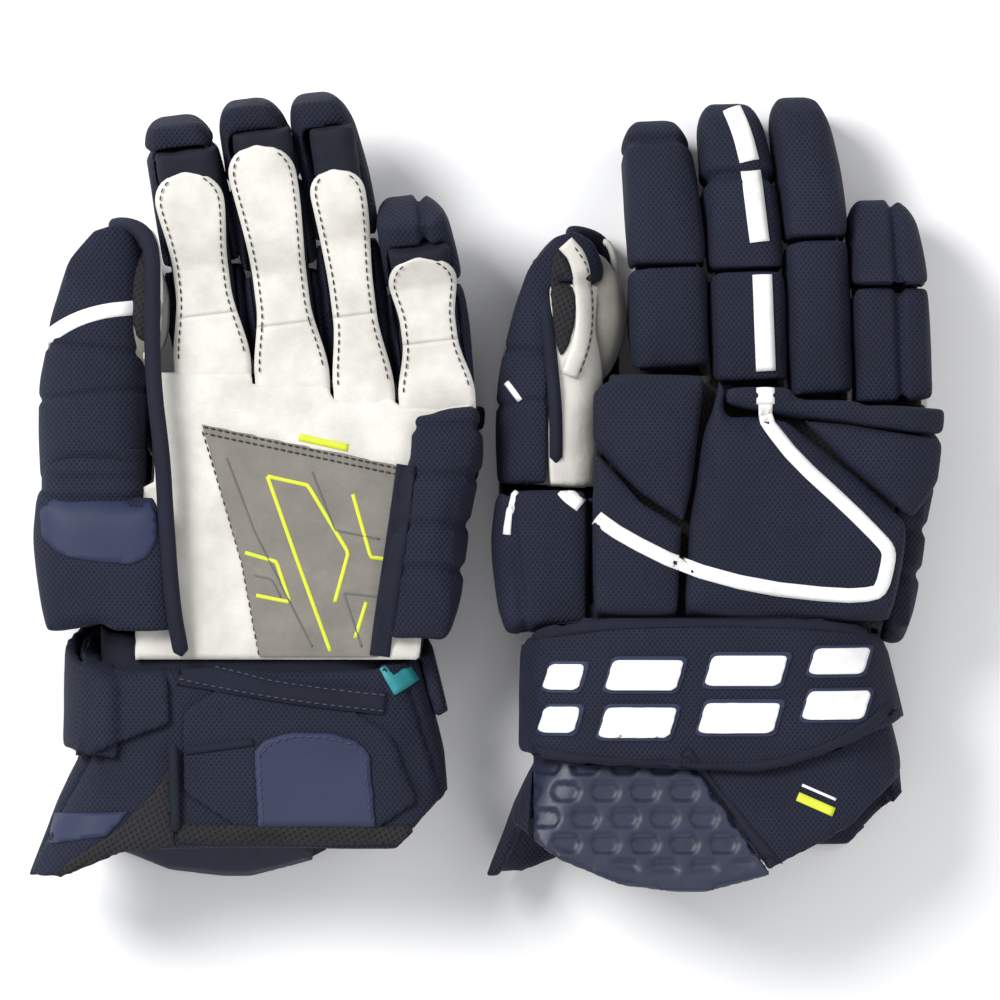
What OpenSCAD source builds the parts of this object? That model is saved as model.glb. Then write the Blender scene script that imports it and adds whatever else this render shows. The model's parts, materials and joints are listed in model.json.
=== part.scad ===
// A pair of ice hockey gloves lying on a flat surface: the right glove palm down, the left glove palm up.
// One glove is described once, palm down with its thumb towards -X and its fingers towards +Y.
// The left glove is the same glove mirrored in Z. The ground is z = 0.

/* [Pair] */
// Clearance between the two gloves at their widest
pair_gap = 0.5; // [0.5:0.5:60]
// How much further back the left glove lies
left_back = 2; // [0:1:30]
// Sideways lean of the right glove's fingers, in degrees
right_lean = 2; // [0:0.5:6]
// Sideways lean of the left glove's fingers, in degrees
left_lean = 7; // [0:0.5:8]

/* [Hand] */
// Length from the wrist seam to the knuckles
hand_l = 104; // [90:1:140]
// Height of the hand cavity under its liner
hand_h = 40; // [34:1:60]
// Thickness of the back pads
back_t = 18; // [10:1:26]
// Thickness of the liner
liner_t = 3; // [2:0.5:5]
// Thickness of the palm leather
leather_t = 2; // [1:0.5:3]
// Thickness of the suede patch on the palm
suede_t = 1.2; // [0.8:0.2:2]
// Width of the groove between neighbouring pads
groove = 1.2; // [0.6:0.2:3]
// Width of the padded roll along the outer side
side_w = 14; // [8:1:20]
// Width of the thin roll under the outer knuckles
roll_w = 10; // [6:1:16]
// How far the wrist seam on the back lies ahead of the palm's seam
seam_rise = 26; // [16:1:34]

/* [Fingers] */
// Widths of the index, middle, ring and little fingers
finger_w = [35, 34, 28, 35]; // [26:1:44]
// Lengths from each knuckle to its finger's middle joint
lower_l = [44, 48, 68, 50]; // [40:1:84]
// Lengths from each middle joint to its fingertip
upper_l = [66, 77, 65, 32]; // [28:1:94]
// Height of a finger's stall
stall_h = 25; // [20:1:34]
// Wall of a finger's stall
stall_t = 2; // [1:0.5:3]
// Thickness of the roll over a finger
roll_t = 20; // [12:1:26]
// Thickness of a roll beside its stall
roll_side = 4; // [3:0.5:6]
// Bend sewn into the lower finger joint, in degrees
curl_low = 3; // [0:1:6]
// Clearance between fingers
finger_gap = 1; // [0.8:0.2:3]
// Clearance between the knuckles and the hand
knuckle_gap = 2.4; // [2.4:0.2:5]
// Clearance on each side of a joint
joint_gap = 0.3; // [0.2:0.1:1]

/* [Thumb] */
// Width of the thumb
thumb_w = 50; // [40:1:60]
// Length of the thumb past its joint
thumb_l = 116; // [95:1:140]
// Height of the thumb
thumb_h = 54; // [46:1:70]
// Height of the thumb above the ground when the glove lies palm down
thumb_lift = 4; // [2:1:10]
// Thickness of the thumb's guard
guard_t = 9; // [6:1:12]

/* [Cuff] */
// Length of the cuff from the wrist seam to its mouth
cuff_l = 116; // [90:1:140]
// Width of the cuff at its mouth
mouth_w = 194; // [180:1:230]
// Width of the cuff at the wrist
neck_w = 146; // [130:1:170]
// How far the cuff flares on its outer side behind the band
cuff_flare = 17; // [0:1:20]
// Thickness of the cuff's wall
cuff_t = 6; // [4:1:9]
// Thickness of the wrist band
band_t = 7; // [4:1:10]
// Length of the wrist band along the cuff
band_l = 58; // [45:1:70]

/* [Hidden] */
FINGERS = ["index", "middle", "ring", "pinky"];
// Padding past the end of a fingertip's stall
tip_t = 15;
// How far each knuckle stands ahead of the end of the hand
knuckle_step = [12, 6, 0, -3];
HAND_NODES = ["hand_liner", "palm_leather", "palm_suede", "knuckle_pad", "back_pads", "outer_pad",
    "thumb_side_pads", "side_roll", "thumb_guard", "thumb_stall", "wrist_band", "cuff_panels",
    "cuff_insert", "cuff_palm"];
FINGER_NODES = [for (f = FINGERS, part = ["lower_roll", "lower_stall", "upper_roll", "upper_stall"])
    str(f, "_", part)];
GLOVE_NODES = concat(HAND_NODES, FINGER_NODES);

navy = [0.07, 0.1, 0.22];
deep_navy = [0.04, 0.06, 0.14];
white = [0.93, 0.93, 0.92];
grey = [0.55, 0.55, 0.54];

big = 400;
hand_x = -58;
wrist_y = 118;
// The palm's end of the slanted wrist seam, and the seam's slope up to the back of the hand
palm_joint_y = wrist_y - 18;
knuckle_y = wrist_y + hand_l;
roof_z = hand_h + liner_t;
top_z = roof_z + back_t;
seam_slope = seam_rise / top_z;
seam_y = palm_joint_y + seam_rise;
index_edge = hand_x + 18;
thumb_y = wrist_y + 63;
thumb_right = index_edge - 11;
thumb_x = thumb_right - thumb_w;
thumb_z = roof_z - 1 - thumb_h;
palm_z = thumb_lift - thumb_z;

// Height at which the mouth's edge changes from the palm side's outline to the back's, and their lap
mouth_split = 20;
mouth_lap = 0.5;
mouth_y = wrist_y - cuff_l;
// How far the cuff's middle lies towards the thumb, and what the cut of its mouth takes off that side
cuff_shift = 10;
mouth_trim = 1.5;
// Top of a finger's roll, the height of its side edges and the rounding of its tip
roll_z = stall_h + roll_t;
roll_foot = 4;
tip_r = roll_t - 2;
tip_set = 2;

// Left edge and middle of finger i, and the place of its knuckle along the hand
function edge_x(i) = i == 0 ? index_edge : edge_x(i - 1) + finger_w[i - 1] + finger_gap;
function mid_x(i) = edge_x(i) + finger_w[i] / 2;
function base_y(i) = knuckle_y + knuckle_step[i];
outer_x = edge_x(3) + finger_w[3] + 1;
hand_w = outer_x + 3 - hand_x;

// A point of the hand's plan: u runs across from the first knuckle, v from the wrist to the knuckles
function hp(u, v) = [hand_x + u * hand_w, wrist_y + v * hand_l];
// The finger whose width holds x, and the hand's end behind it
function finger_at(x) = len([for (i = [1:3]) if (x >= edge_x(i) - finger_gap / 2) i]);
function front_y(x) = base_y(finger_at(x)) - knuckle_gap;
// The hand's stepped end between two places across it
function front_edge(x0, x1) = [
    [x0, front_y(x0)],
    for (i = [1:3], step = [i - 1, i])
        if (edge_x(i) - finger_gap / 2 > x0 && edge_x(i) - finger_gap / 2 < x1)
            [edge_x(i) - finger_gap / 2, base_y(step) - knuckle_gap],
    [x1, front_y(x1)]];
// The lower edge of the thin roll behind the knuckles
function roll_y(x) = base_y(1) - knuckle_gap - roll_w
    + (x - mid_x(1)) * (base_y(3) - base_y(1)) / (mid_x(3) - mid_x(1));
// The liner's outer edge beside the padded side roll
function liner_edge(y) = outer_x - side_w - 12 * (front_y(outer_x) - y) / (front_y(outer_x) - palm_joint_y);

function lean_of(side) = side == "right" ? right_lean : left_lean;
// Height of a finger's middle joint above the ground, and the slope at which its tip reaches the ground:
// the end of a long finger's stall lands first, or the end of a short finger's roll
function joint_rise(i) = palm_z - lower_l[i] * sin(curl_low);
function stall_slope(i) = joint_rise(i) < upper_l[i] - tip_t ? asin(joint_rise(i) / (upper_l[i] - tip_t)) : 90;
function tip_slope(i) = min(
    stall_slope(i),
    asin(joint_rise(i) / norm([upper_l[i] - tip_set, roll_foot])) + atan(roll_foot / (upper_l[i] - tip_set)));
function curl_up(i) = tip_slope(i) - curl_low;
function tip_reach(i) = (upper_l[i] - tip_r - tip_set) * cos(tip_slope(i))
    + (roll_z - tip_r) * sin(tip_slope(i)) + tip_r;

// Distance between the two gloves' own axes, and the middle of the ground that the pair covers
pair_spacing = max(outer_x + 4 + 3 - thumb_x, mouth_w) + pair_gap;
middle_x = (outer_x + 4 - mouth_w / 2 - cuff_shift + mouth_trim) / 2;
middle_y = (mouth_y + left_back + max([for (i = [0:3]) base_y(i) + lower_l[i] + tip_reach(i)])) / 2;

// A rectangle with round corners, from true circles
module round_rect(low, high, r) {
    translate([low[0] + r, low[1]]) square([high[0] - low[0] - 2 * r, high[1] - low[1]]);
    translate([low[0], low[1] + r]) square([high[0] - low[0], high[1] - low[1] - 2 * r]);
    for (x = [low[0] + r, high[0] - r], y = [low[1] + r, high[1] - r])
        translate([x, y]) circle(r, $fn = 48);
}

// Turns a drawing in X and Z into a bar along Y
module bar(y0, y1) {
    translate([0, y1, 0]) rotate([90, 0, 0]) linear_extrude(y1 - y0) children();
}

// Turns a drawing in Y and Z into a slab across X
module slab(x0, x1) {
    translate([x0, 0, 0]) rotate([90, 0, 90]) linear_extrude(x1 - x0) children();
}

// Extrudes a plan between two heights above the palm
module tall(z0, z1) {
    translate([0, 0, z0]) linear_extrude(z1 - z0) children();
}

// Places a glove drawn palm down, with its palm at z = 0, into the pair
module place(side) {
    if (side == "right")
        translate([pair_spacing / 2 - middle_x, -middle_y, palm_z]) children();
    else
        translate([-pair_spacing / 2 - middle_x, left_back - middle_y, top_z]) mirror([0, 0, 1]) children();
}

// The hand's side of the slanted wrist seam
module ahead_of_wrist() {
    slab(-big, big) polygon([
        [palm_joint_y + joint_gap, 0], [palm_joint_y + joint_gap + seam_slope * big, big],
        [big * 2, big], [big * 2, -big], [palm_joint_y + joint_gap, -big]]);
}

// The cuff's side of the slanted wrist seam
module behind_wrist() {
    slab(-big, big) polygon([
        [palm_joint_y - joint_gap, 0], [palm_joint_y - joint_gap + seam_slope * big, big],
        [-big, big], [-big, -big], [palm_joint_y - joint_gap - big, -big]]);
}

// The rounded outer form that all pads of the hand lie in
module hand_form() {
    bar(palm_joint_y - 20, knuckle_y + 30)
        round_rect([thumb_x, -30], [outer_x + side_w / 2, top_z], 26);
}

// A pad on the back of the hand with the given plan
module back_pad(outline) {
    intersection() {
        tall(roof_z, top_z + 1) polygon(outline);
        hand_form();
        ahead_of_wrist();
    }
}

// Plan of the palm and of the liner over it, stepped in beside the thumb
module palm_plan() {
    polygon([
        [hand_x, palm_joint_y], [hand_x, thumb_y - 1], [thumb_right + 1, thumb_y - 1],
        each front_edge(thumb_right + 1, outer_x - side_w), [liner_edge(palm_joint_y), palm_joint_y]]);
}

// Plan of the room for the hand, open at the wrist and at the fingers
module hand_room_plan() {
    polygon([
        [hand_x + liner_t, 0], [hand_x + liner_t, thumb_y - 1 - liner_t],
        [thumb_right + 1 + liner_t, thumb_y - 1 - liner_t], [thumb_right + 1 + liner_t, big],
        [outer_x - side_w - liner_t, big], [outer_x - side_w - liner_t, front_y(outer_x)],
        [liner_edge(palm_joint_y) - liner_t, palm_joint_y], [liner_edge(palm_joint_y) - liner_t, 0]]);
}

// The way from the room for the hand into the thumb
module thumb_way(end) {
    start = thumb_x + guard_t + stall_t;
    translate([start, wrist_y + 16, leather_t + 2])
        cube([end - start, thumb_y - wrist_y - 12, hand_h - leather_t - 8]);
}

module hand_liner() {
    color(deep_navy) intersection() {
        difference() {
            tall(leather_t, roof_z) palm_plan();
            tall(leather_t - 1, hand_h) hand_room_plan();
            thumb_way(hand_x + liner_t + 1);
        }
        ahead_of_wrist();
    }
}

module palm_leather() {
    color(white) intersection() {
        tall(0, leather_t) palm_plan();
        ahead_of_wrist();
    }
}

module palm_suede() {
    color(grey) tall(-suede_t, 0) polygon([
        hp(0.17, -0.03), hp(0.14, 0.40), hp(0.11, 0.80), hp(0.84, 0.63), hp(0.78, 0.25), hp(0.70, -0.09)]);
}

// The seam between the knuckle pad and the centre pad, and the start of the thin roll
knuckle_seam_x = hp(0.33, 0)[0];
roll_x = hp(0.37, 0)[0];
// The seam between the centre pad and the outer pad
seam_start = [hp(0.56, 0)[0], roll_y(hp(0.56, 0)[0]) - groove];
seam_end = hp(0.895, 0.45);

module knuckle_pad() {
    color(navy) back_pad([
        hp(0, 0.80), hp(0, 1.02), each front_edge(hp(0.08, 0)[0], knuckle_seam_x - groove),
        hp(0.262, 0.45), hp(0.14, 0.57)]);
}

module back_pads() {
    color(navy) {
        back_pad([
            each front_edge(knuckle_seam_x, roll_x - groove), [roll_x - groove, roll_y(roll_x) - groove],
            seam_start, seam_end, hp(0.84, -0.05), hp(0.25, -0.05), hp(0.27, 0.44)]);
        back_pad([
            each front_edge(roll_x, outer_x + 4), [outer_x + 3, roll_y(outer_x + 3)],
            [roll_x, roll_y(roll_x)]]);
    }
}

module outer_pad() {
    color(navy) back_pad([
        seam_start + [2 * groove, 0], [outer_x + 3, roll_y(outer_x + 3) - groove],
        [outer_x, hp(0, 0.62)[1]], seam_end + [groove, groove]]);
}

module thumb_side_pads() {
    color(navy) {
        back_pad([
            hp(0, 0.79), hp(0.135, 0.555), hp(0.255, 0.435), hp(0.24, -0.05), hp(0, -0.05)]);
        difference() {
            intersection() {
                union() {
                    tall(thumb_z, top_z) polygon([
                        [thumb_x, thumb_y - joint_gap], [hand_x - groove, thumb_y - joint_gap],
                        [hand_x - groove, wrist_y + 2], [thumb_x + 4, wrist_y - 4], [thumb_x - 3, thumb_y - 24]]);
                    tall(thumb_z, -suede_t - joint_gap) polygon([
                        [hand_x - 10, thumb_y - joint_gap], [hand_x + 11, thumb_y - joint_gap],
                        [hand_x + 18, wrist_y + 30], [hand_x + 22, wrist_y - 4], [hand_x - 10, wrist_y - 4]]);
                }
                bar(palm_joint_y - 20, thumb_y)
                    round_rect([thumb_x - 3, thumb_z], [hand_x + 24, thumb_z + thumb_h + 6], 20);
                slab(-big, big) polygon([
                    [palm_joint_y + 14, thumb_z], [thumb_y - 14, thumb_z], [thumb_y - joint_gap, 0],
                    [thumb_y - joint_gap, top_z], [wrist_y + 1, top_z], [wrist_y - 3, 20]]);
                ahead_of_wrist();
            }
            thumb_way(hand_x);
        }
    }
}

module side_roll() {
    z0 = -9;
    back_y = wrist_y - 8;
    front = front_y(outer_x);
    color(navy) intersection() {
        union() {
            tall(z0, roof_z - 0.5) polygon([
                [liner_edge(front) + joint_gap, front], [outer_x, front], [outer_x + 2, front - 14],
                [outer_x - 6, wrist_y + 48], [outer_x - 13, back_y], [liner_edge(back_y) + joint_gap, back_y]]);
            tall(z0, -suede_t - joint_gap) polygon([
                [liner_edge(front) + 1, front], [outer_x - 30, front - 6], [outer_x - 34, wrist_y + 66],
                [outer_x - 46, wrist_y + 10], [outer_x - 40, back_y], [liner_edge(back_y) + 1, back_y]]);
        }
        bar(palm_joint_y, knuckle_y + 30)
            round_rect([outer_x - 60, z0], [outer_x + 3, roof_z - 0.5], 9);
        ahead_of_wrist();
    }
}

// Moves a drawing made at a finger's own knuckle to its place on the hand
module at_finger(side, i) {
    translate([mid_x(i), base_y(i), 0])
        rotate([0, 0, lean_of(side)])
            rotate([-curl_low, 0, 0])
                children();
}

module at_fingertip(side, i) {
    at_finger(side, i)
        translate([0, lower_l[i], 0])
            rotate([-curl_up(i), 0, 0])
                children();
}

// Everything past a joint whose sewn-in bend fills the wedge over it
module past_joint(bend) {
    slab(-big, big) polygon([
        [joint_gap, 0], [joint_gap - big * tan(bend), big], [big, big], [big, -big], [joint_gap, -big]]);
}

// The tube of leather and knit that a length of finger goes through, closed at its end if it is a tip
module stall(w, l, bend, tip) {
    half = w / 2 - roll_side;
    end = tip ? l - tip_t : l - joint_gap;
    color(white) intersection() {
        difference() {
            bar(-stall_h, end) round_rect([-half, 0], [half, stall_h], 6);
            bar(-stall_h - 1, tip ? end - stall_t : end + 1)
                round_rect([stall_t - half, stall_t], [half - stall_t, stall_h - stall_t], 4);
        }
        past_joint(bend);
    }
}

// The padded roll over a length of finger, which also wraps its two sides
module roll(w, l, bend, tip) {
    half = w / 2 - roll_side;
    color(navy) difference() {
        intersection() {
            bar(-roll_z, l) round_rect([-w / 2, roll_foot], [w / 2, roll_z], 9);
            past_joint(bend);
            slab(-w, w) {
                if (tip) {
                    translate([-roll_z, 0]) square([roll_z + l - tip_r - tip_set, roll_z]);
                    translate([l - tip_r - tip_set, roll_z - tip_r]) circle(tip_r, $fn = 64);
                    translate([l - tip_r - 2 * tip_set, roll_foot])
                        square([tip_r + tip_set, roll_z - tip_r - roll_foot]);
                }
                else
                    translate([-roll_z, 0]) square([roll_z + l - joint_gap, roll_z]);
            }
        }
        bar(-roll_z - 1, tip ? l - tip_t : l + 1) round_rect([-half, -8], [half, stall_h], 6);
    }
}

// Plan of the thumb past its joint
module thumb_plan(inset) {
    end = thumb_y + thumb_l - inset;
    left = thumb_x + inset;
    right = thumb_right - inset;
    polygon([
        [left, thumb_y + joint_gap], [left, thumb_y + 0.38 * thumb_l], [left + 6, thumb_y + 0.64 * thumb_l],
        [left + 14, end - 18], [left + 26, end - 3], [left + 36 - inset, end], [right - 5, end - 5],
        [right, end - 18], [right, thumb_y + joint_gap]]);
}

module thumb_form(inset) {
    intersection() {
        tall(thumb_z, thumb_z + thumb_h) thumb_plan(inset);
        bar(thumb_y, thumb_y + thumb_l)
            round_rect([thumb_x + inset, thumb_z + inset], [thumb_x + thumb_w - inset,
                thumb_z + thumb_h - inset], 20 - inset);
        slab(-big, big) polygon([
            [thumb_y + joint_gap, 0], [thumb_y + joint_gap, big], [big * 2, big], [big * 2, thumb_z],
            [thumb_y + 14, thumb_z]]);
    }
}

// Space above and inside the guard, where the thumb's leather lies open
module guard_gap() {
    translate([thumb_x + 24, thumb_y - 1, thumb_z + thumb_h / 2]) cube([thumb_w, thumb_l - 24, thumb_h]);
}

// The room for the thumb, open towards the hand
module thumb_room() {
    inset = guard_t + stall_t;
    intersection() {
        tall(thumb_z, thumb_z + thumb_h) {
            thumb_plan(inset);
            translate([thumb_x + inset, thumb_y - 1]) square([thumb_w - 2 * inset, 2]);
        }
        bar(thumb_y - 1, thumb_y + thumb_l - 26) round_rect(
            [thumb_x + inset, thumb_z + inset], [thumb_right - inset, thumb_z + thumb_h - inset], 20 - inset);
    }
}

module thumb_guard() {
    color(navy) difference() {
        thumb_form(0);
        thumb_form(guard_t);
        guard_gap();
    }
}

module thumb_stall() {
    color(white) difference() {
        union() {
            thumb_form(guard_t);
            intersection() {
                thumb_form(2);
                guard_gap();
            }
        }
        thumb_room();
    }
}

// A thin section of the cuff, a distance inset inside its outer face and flared on the outer side
module cuff_section(y, w, flare, z0, z1, inset) {
    bar(y, y + 0.1) hull() round_rect(
        [-w / 2 + inset - cuff_shift, z0 + inset], [w / 2 + flare - inset - cuff_shift, z1 - inset], 24 - inset);
}

module cuff_body(inset, reach) {
    hull() {
        cuff_section(seam_y + 2 + reach, neck_w, 0, -1, top_z - 11, inset);
        cuff_section(wrist_y - 60, neck_w + 2, cuff_flare, -6, top_z - 10, inset);
    }
    hull() {
        cuff_section(wrist_y - 60, neck_w + 2, cuff_flare, -6, top_z - 10, inset);
        cuff_section(mouth_y - reach, mouth_w, 0, -palm_z, top_z, inset);
    }
}

// The cuff's wall, cut to the shape of its mouth and of the wrist seam
module cuff_wall() {
    intersection() {
        difference() {
            cuff_body(0, 0);
            cuff_body(cuff_t, 1);
        }
        behind_wrist();
        union() {
            tall(mouth_split, top_z + 1) polygon([
                [-big, seam_y + 20], [-big, mouth_y + 34], [-95, mouth_y + 30], [-72, mouth_y + 14],
                [-45, mouth_y + 3], [-12, mouth_y - 1], [22, mouth_y + 8], [58, mouth_y + 28],
                [90, mouth_y + 60], [big, mouth_y + 62], [big, seam_y + 20]]);
            tall(-palm_z - 1, mouth_split + mouth_lap) polygon([
                [-big, seam_y + 20], [-big, mouth_y - 1], [-90, mouth_y + 4], [-60, mouth_y + 14],
                [60, mouth_y + 16], [90, mouth_y + 50], [big, mouth_y + 55], [big, seam_y + 20]]);
        }
    }
}

// Plan of the moulded insert, left of the panel that overlaps it
insert_plan = [[-84, mouth_y - 5], [-84, wrist_y - 52], [-21, wrist_y - 52], [-19, wrist_y - 52],
    [22, mouth_y + 6], [22, mouth_y - 5]];

module cuff_insert() {
    color(deep_navy) intersection() {
        cuff_wall();
        tall(mouth_split, big) polygon(insert_plan);
    }
}

module cuff_panels() {
    color(navy) difference() {
        intersection() {
            cuff_wall();
            tall(4, big) translate([-big, -big]) square(2 * big);
        }
        tall(mouth_split, big + 1) polygon(insert_plan);
    }
}

module cuff_palm() {
    color(navy) intersection() {
        cuff_wall();
        tall(-palm_z - 1, 4) translate([-big, -big]) square(2 * big);
    }
}

module wrist_band() {
    left = -neck_w / 2 - cuff_shift;
    right = neck_w / 2 - cuff_shift + cuff_flare;
    color(navy) intersection() {
        difference() {
            cuff_body(-band_t, 0);
            cuff_body(0, 1);
            tall(-20, 10) translate([left + 20, -big]) square([big, 2 * big]);
        }
        behind_wrist();
        tall(-12, top_z) polygon([
            [left - 20, seam_y + 10], [left - 20, wrist_y - band_l + 4], [left + 20, wrist_y - band_l - 2],
            [20, wrist_y - band_l - 6], [56, wrist_y - band_l + 6], [right + 20, wrist_y - band_l + 26],
            [right + 20, seam_y + 10]]);
    }
}

module hand_part(name) {
    if (name == "hand_liner") hand_liner();
    if (name == "palm_leather") palm_leather();
    if (name == "palm_suede") palm_suede();
    if (name == "knuckle_pad") knuckle_pad();
    if (name == "back_pads") back_pads();
    if (name == "outer_pad") outer_pad();
    if (name == "thumb_side_pads") thumb_side_pads();
    if (name == "side_roll") side_roll();
    if (name == "thumb_guard") thumb_guard();
    if (name == "thumb_stall") thumb_stall();
    if (name == "wrist_band") wrist_band();
    if (name == "cuff_panels") cuff_panels();
    if (name == "cuff_insert") cuff_insert();
    if (name == "cuff_palm") cuff_palm();
}

module finger_part(side, i, part) {
    if (part == "lower_roll") at_finger(side, i) roll(finger_w[i], lower_l[i], curl_low, false);
    if (part == "lower_stall") at_finger(side, i) stall(finger_w[i], lower_l[i], curl_low, false);
    if (part == "upper_roll") at_fingertip(side, i) roll(finger_w[i], upper_l[i], curl_up(i), true);
    if (part == "upper_stall") at_fingertip(side, i) stall(finger_w[i], upper_l[i], curl_up(i), true);
}

for (side = ["right", "left"]) {
    for (name = HAND_NODES)
        place(side) hand_part(name);
    for (i = [0:3], part = ["lower_roll", "lower_stall", "upper_roll", "upper_stall"])
        place(side) finger_part(side, i, part);
}
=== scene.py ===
"""A pair of ice hockey gloves: padded mesh-knit rolls and pads, leather palms and flared cuffs.

Every piece is made once, on the right glove, and then mirrored to the left glove body by body.
"""
import json
import math

import bmesh
import bpy
from mathutils import Matrix, Vector, noise
from mathutils.bvhtree import BVHTree
from mathutils.geometry import delaunay_2d_cdt


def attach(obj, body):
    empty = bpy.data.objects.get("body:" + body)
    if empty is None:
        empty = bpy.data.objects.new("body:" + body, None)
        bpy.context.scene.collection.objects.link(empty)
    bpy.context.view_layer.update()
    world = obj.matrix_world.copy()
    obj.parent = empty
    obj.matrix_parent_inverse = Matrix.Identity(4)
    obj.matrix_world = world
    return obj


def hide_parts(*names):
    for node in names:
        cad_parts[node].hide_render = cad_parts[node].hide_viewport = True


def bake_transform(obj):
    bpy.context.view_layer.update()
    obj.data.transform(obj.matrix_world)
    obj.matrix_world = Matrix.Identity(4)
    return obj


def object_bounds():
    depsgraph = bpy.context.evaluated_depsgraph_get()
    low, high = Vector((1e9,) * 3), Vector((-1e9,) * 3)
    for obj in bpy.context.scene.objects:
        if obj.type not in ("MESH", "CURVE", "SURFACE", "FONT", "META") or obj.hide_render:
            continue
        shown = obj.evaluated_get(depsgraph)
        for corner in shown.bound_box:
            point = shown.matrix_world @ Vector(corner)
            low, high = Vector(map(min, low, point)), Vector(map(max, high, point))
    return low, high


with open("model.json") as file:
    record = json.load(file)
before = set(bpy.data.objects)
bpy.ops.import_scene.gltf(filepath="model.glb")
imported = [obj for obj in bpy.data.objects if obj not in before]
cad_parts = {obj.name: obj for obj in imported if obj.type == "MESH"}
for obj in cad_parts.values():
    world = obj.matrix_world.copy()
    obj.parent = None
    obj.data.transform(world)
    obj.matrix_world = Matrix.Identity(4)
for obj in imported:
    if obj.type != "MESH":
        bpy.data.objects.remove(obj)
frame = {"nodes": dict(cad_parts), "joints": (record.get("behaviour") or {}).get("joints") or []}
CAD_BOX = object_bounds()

MM = 0.001
FINGERS = ["index", "middle", "ring", "pinky"]
SCENE = bpy.context.scene
JOINTS = {j["name"]: j for j in frame["joints"]}


# ---------------------------------------------------------------- places

def joint_at(name):
    return Vector(JOINTS[name]["pos_m"])


# The glove's own plan: millimetres, with the wrist joint 100 mm from the cuff's far edge
WRIST = joint_at("right_wrist")
PLAN_X = WRIST.x + 10 * MM
PLAN_Y = WRIST.y - 100 * MM
PALM_Z = WRIST.z


def at(x, y, z=0.0):
    """A point of the right glove, from millimetres in the glove's own plan, z from its palm."""
    return Vector((PLAN_X + x * MM, PLAN_Y + y * MM, PALM_Z + z * MM))


def finger_frame(side, finger):
    """Matrix from a finger's own axes, at its knuckle, to the row frame."""
    knuckle = joint_at(f"{side}_{finger}_knuckle")
    ahead = (joint_at(f"{side}_{finger}_joint") - knuckle).normalized()
    axis = Vector(JOINTS[f"{side}_{finger}_knuckle"]["axis"])
    across = -axis if side == "right" else axis
    up = across.cross(ahead) * (1 if side == "right" else -1)
    m = Matrix((across, ahead, up)).transposed().to_4x4()
    m.translation = knuckle
    return m


def mirror_map(part):
    """Matrix that carries a piece of the right glove's body to the same body of the left glove."""
    finger = part.split("_")[0]
    if finger in FINGERS:
        return finger_frame("left", finger) @ finger_frame("right", finger).inverted()
    left = joint_at("left_wrist")
    m = Matrix.Diagonal((1, 1, -1, 1))
    m.translation = (left.x - WRIST.x, left.y - WRIST.y, left.z + WRIST.z)
    return m


# ---------------------------------------------------------------- materials

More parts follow.
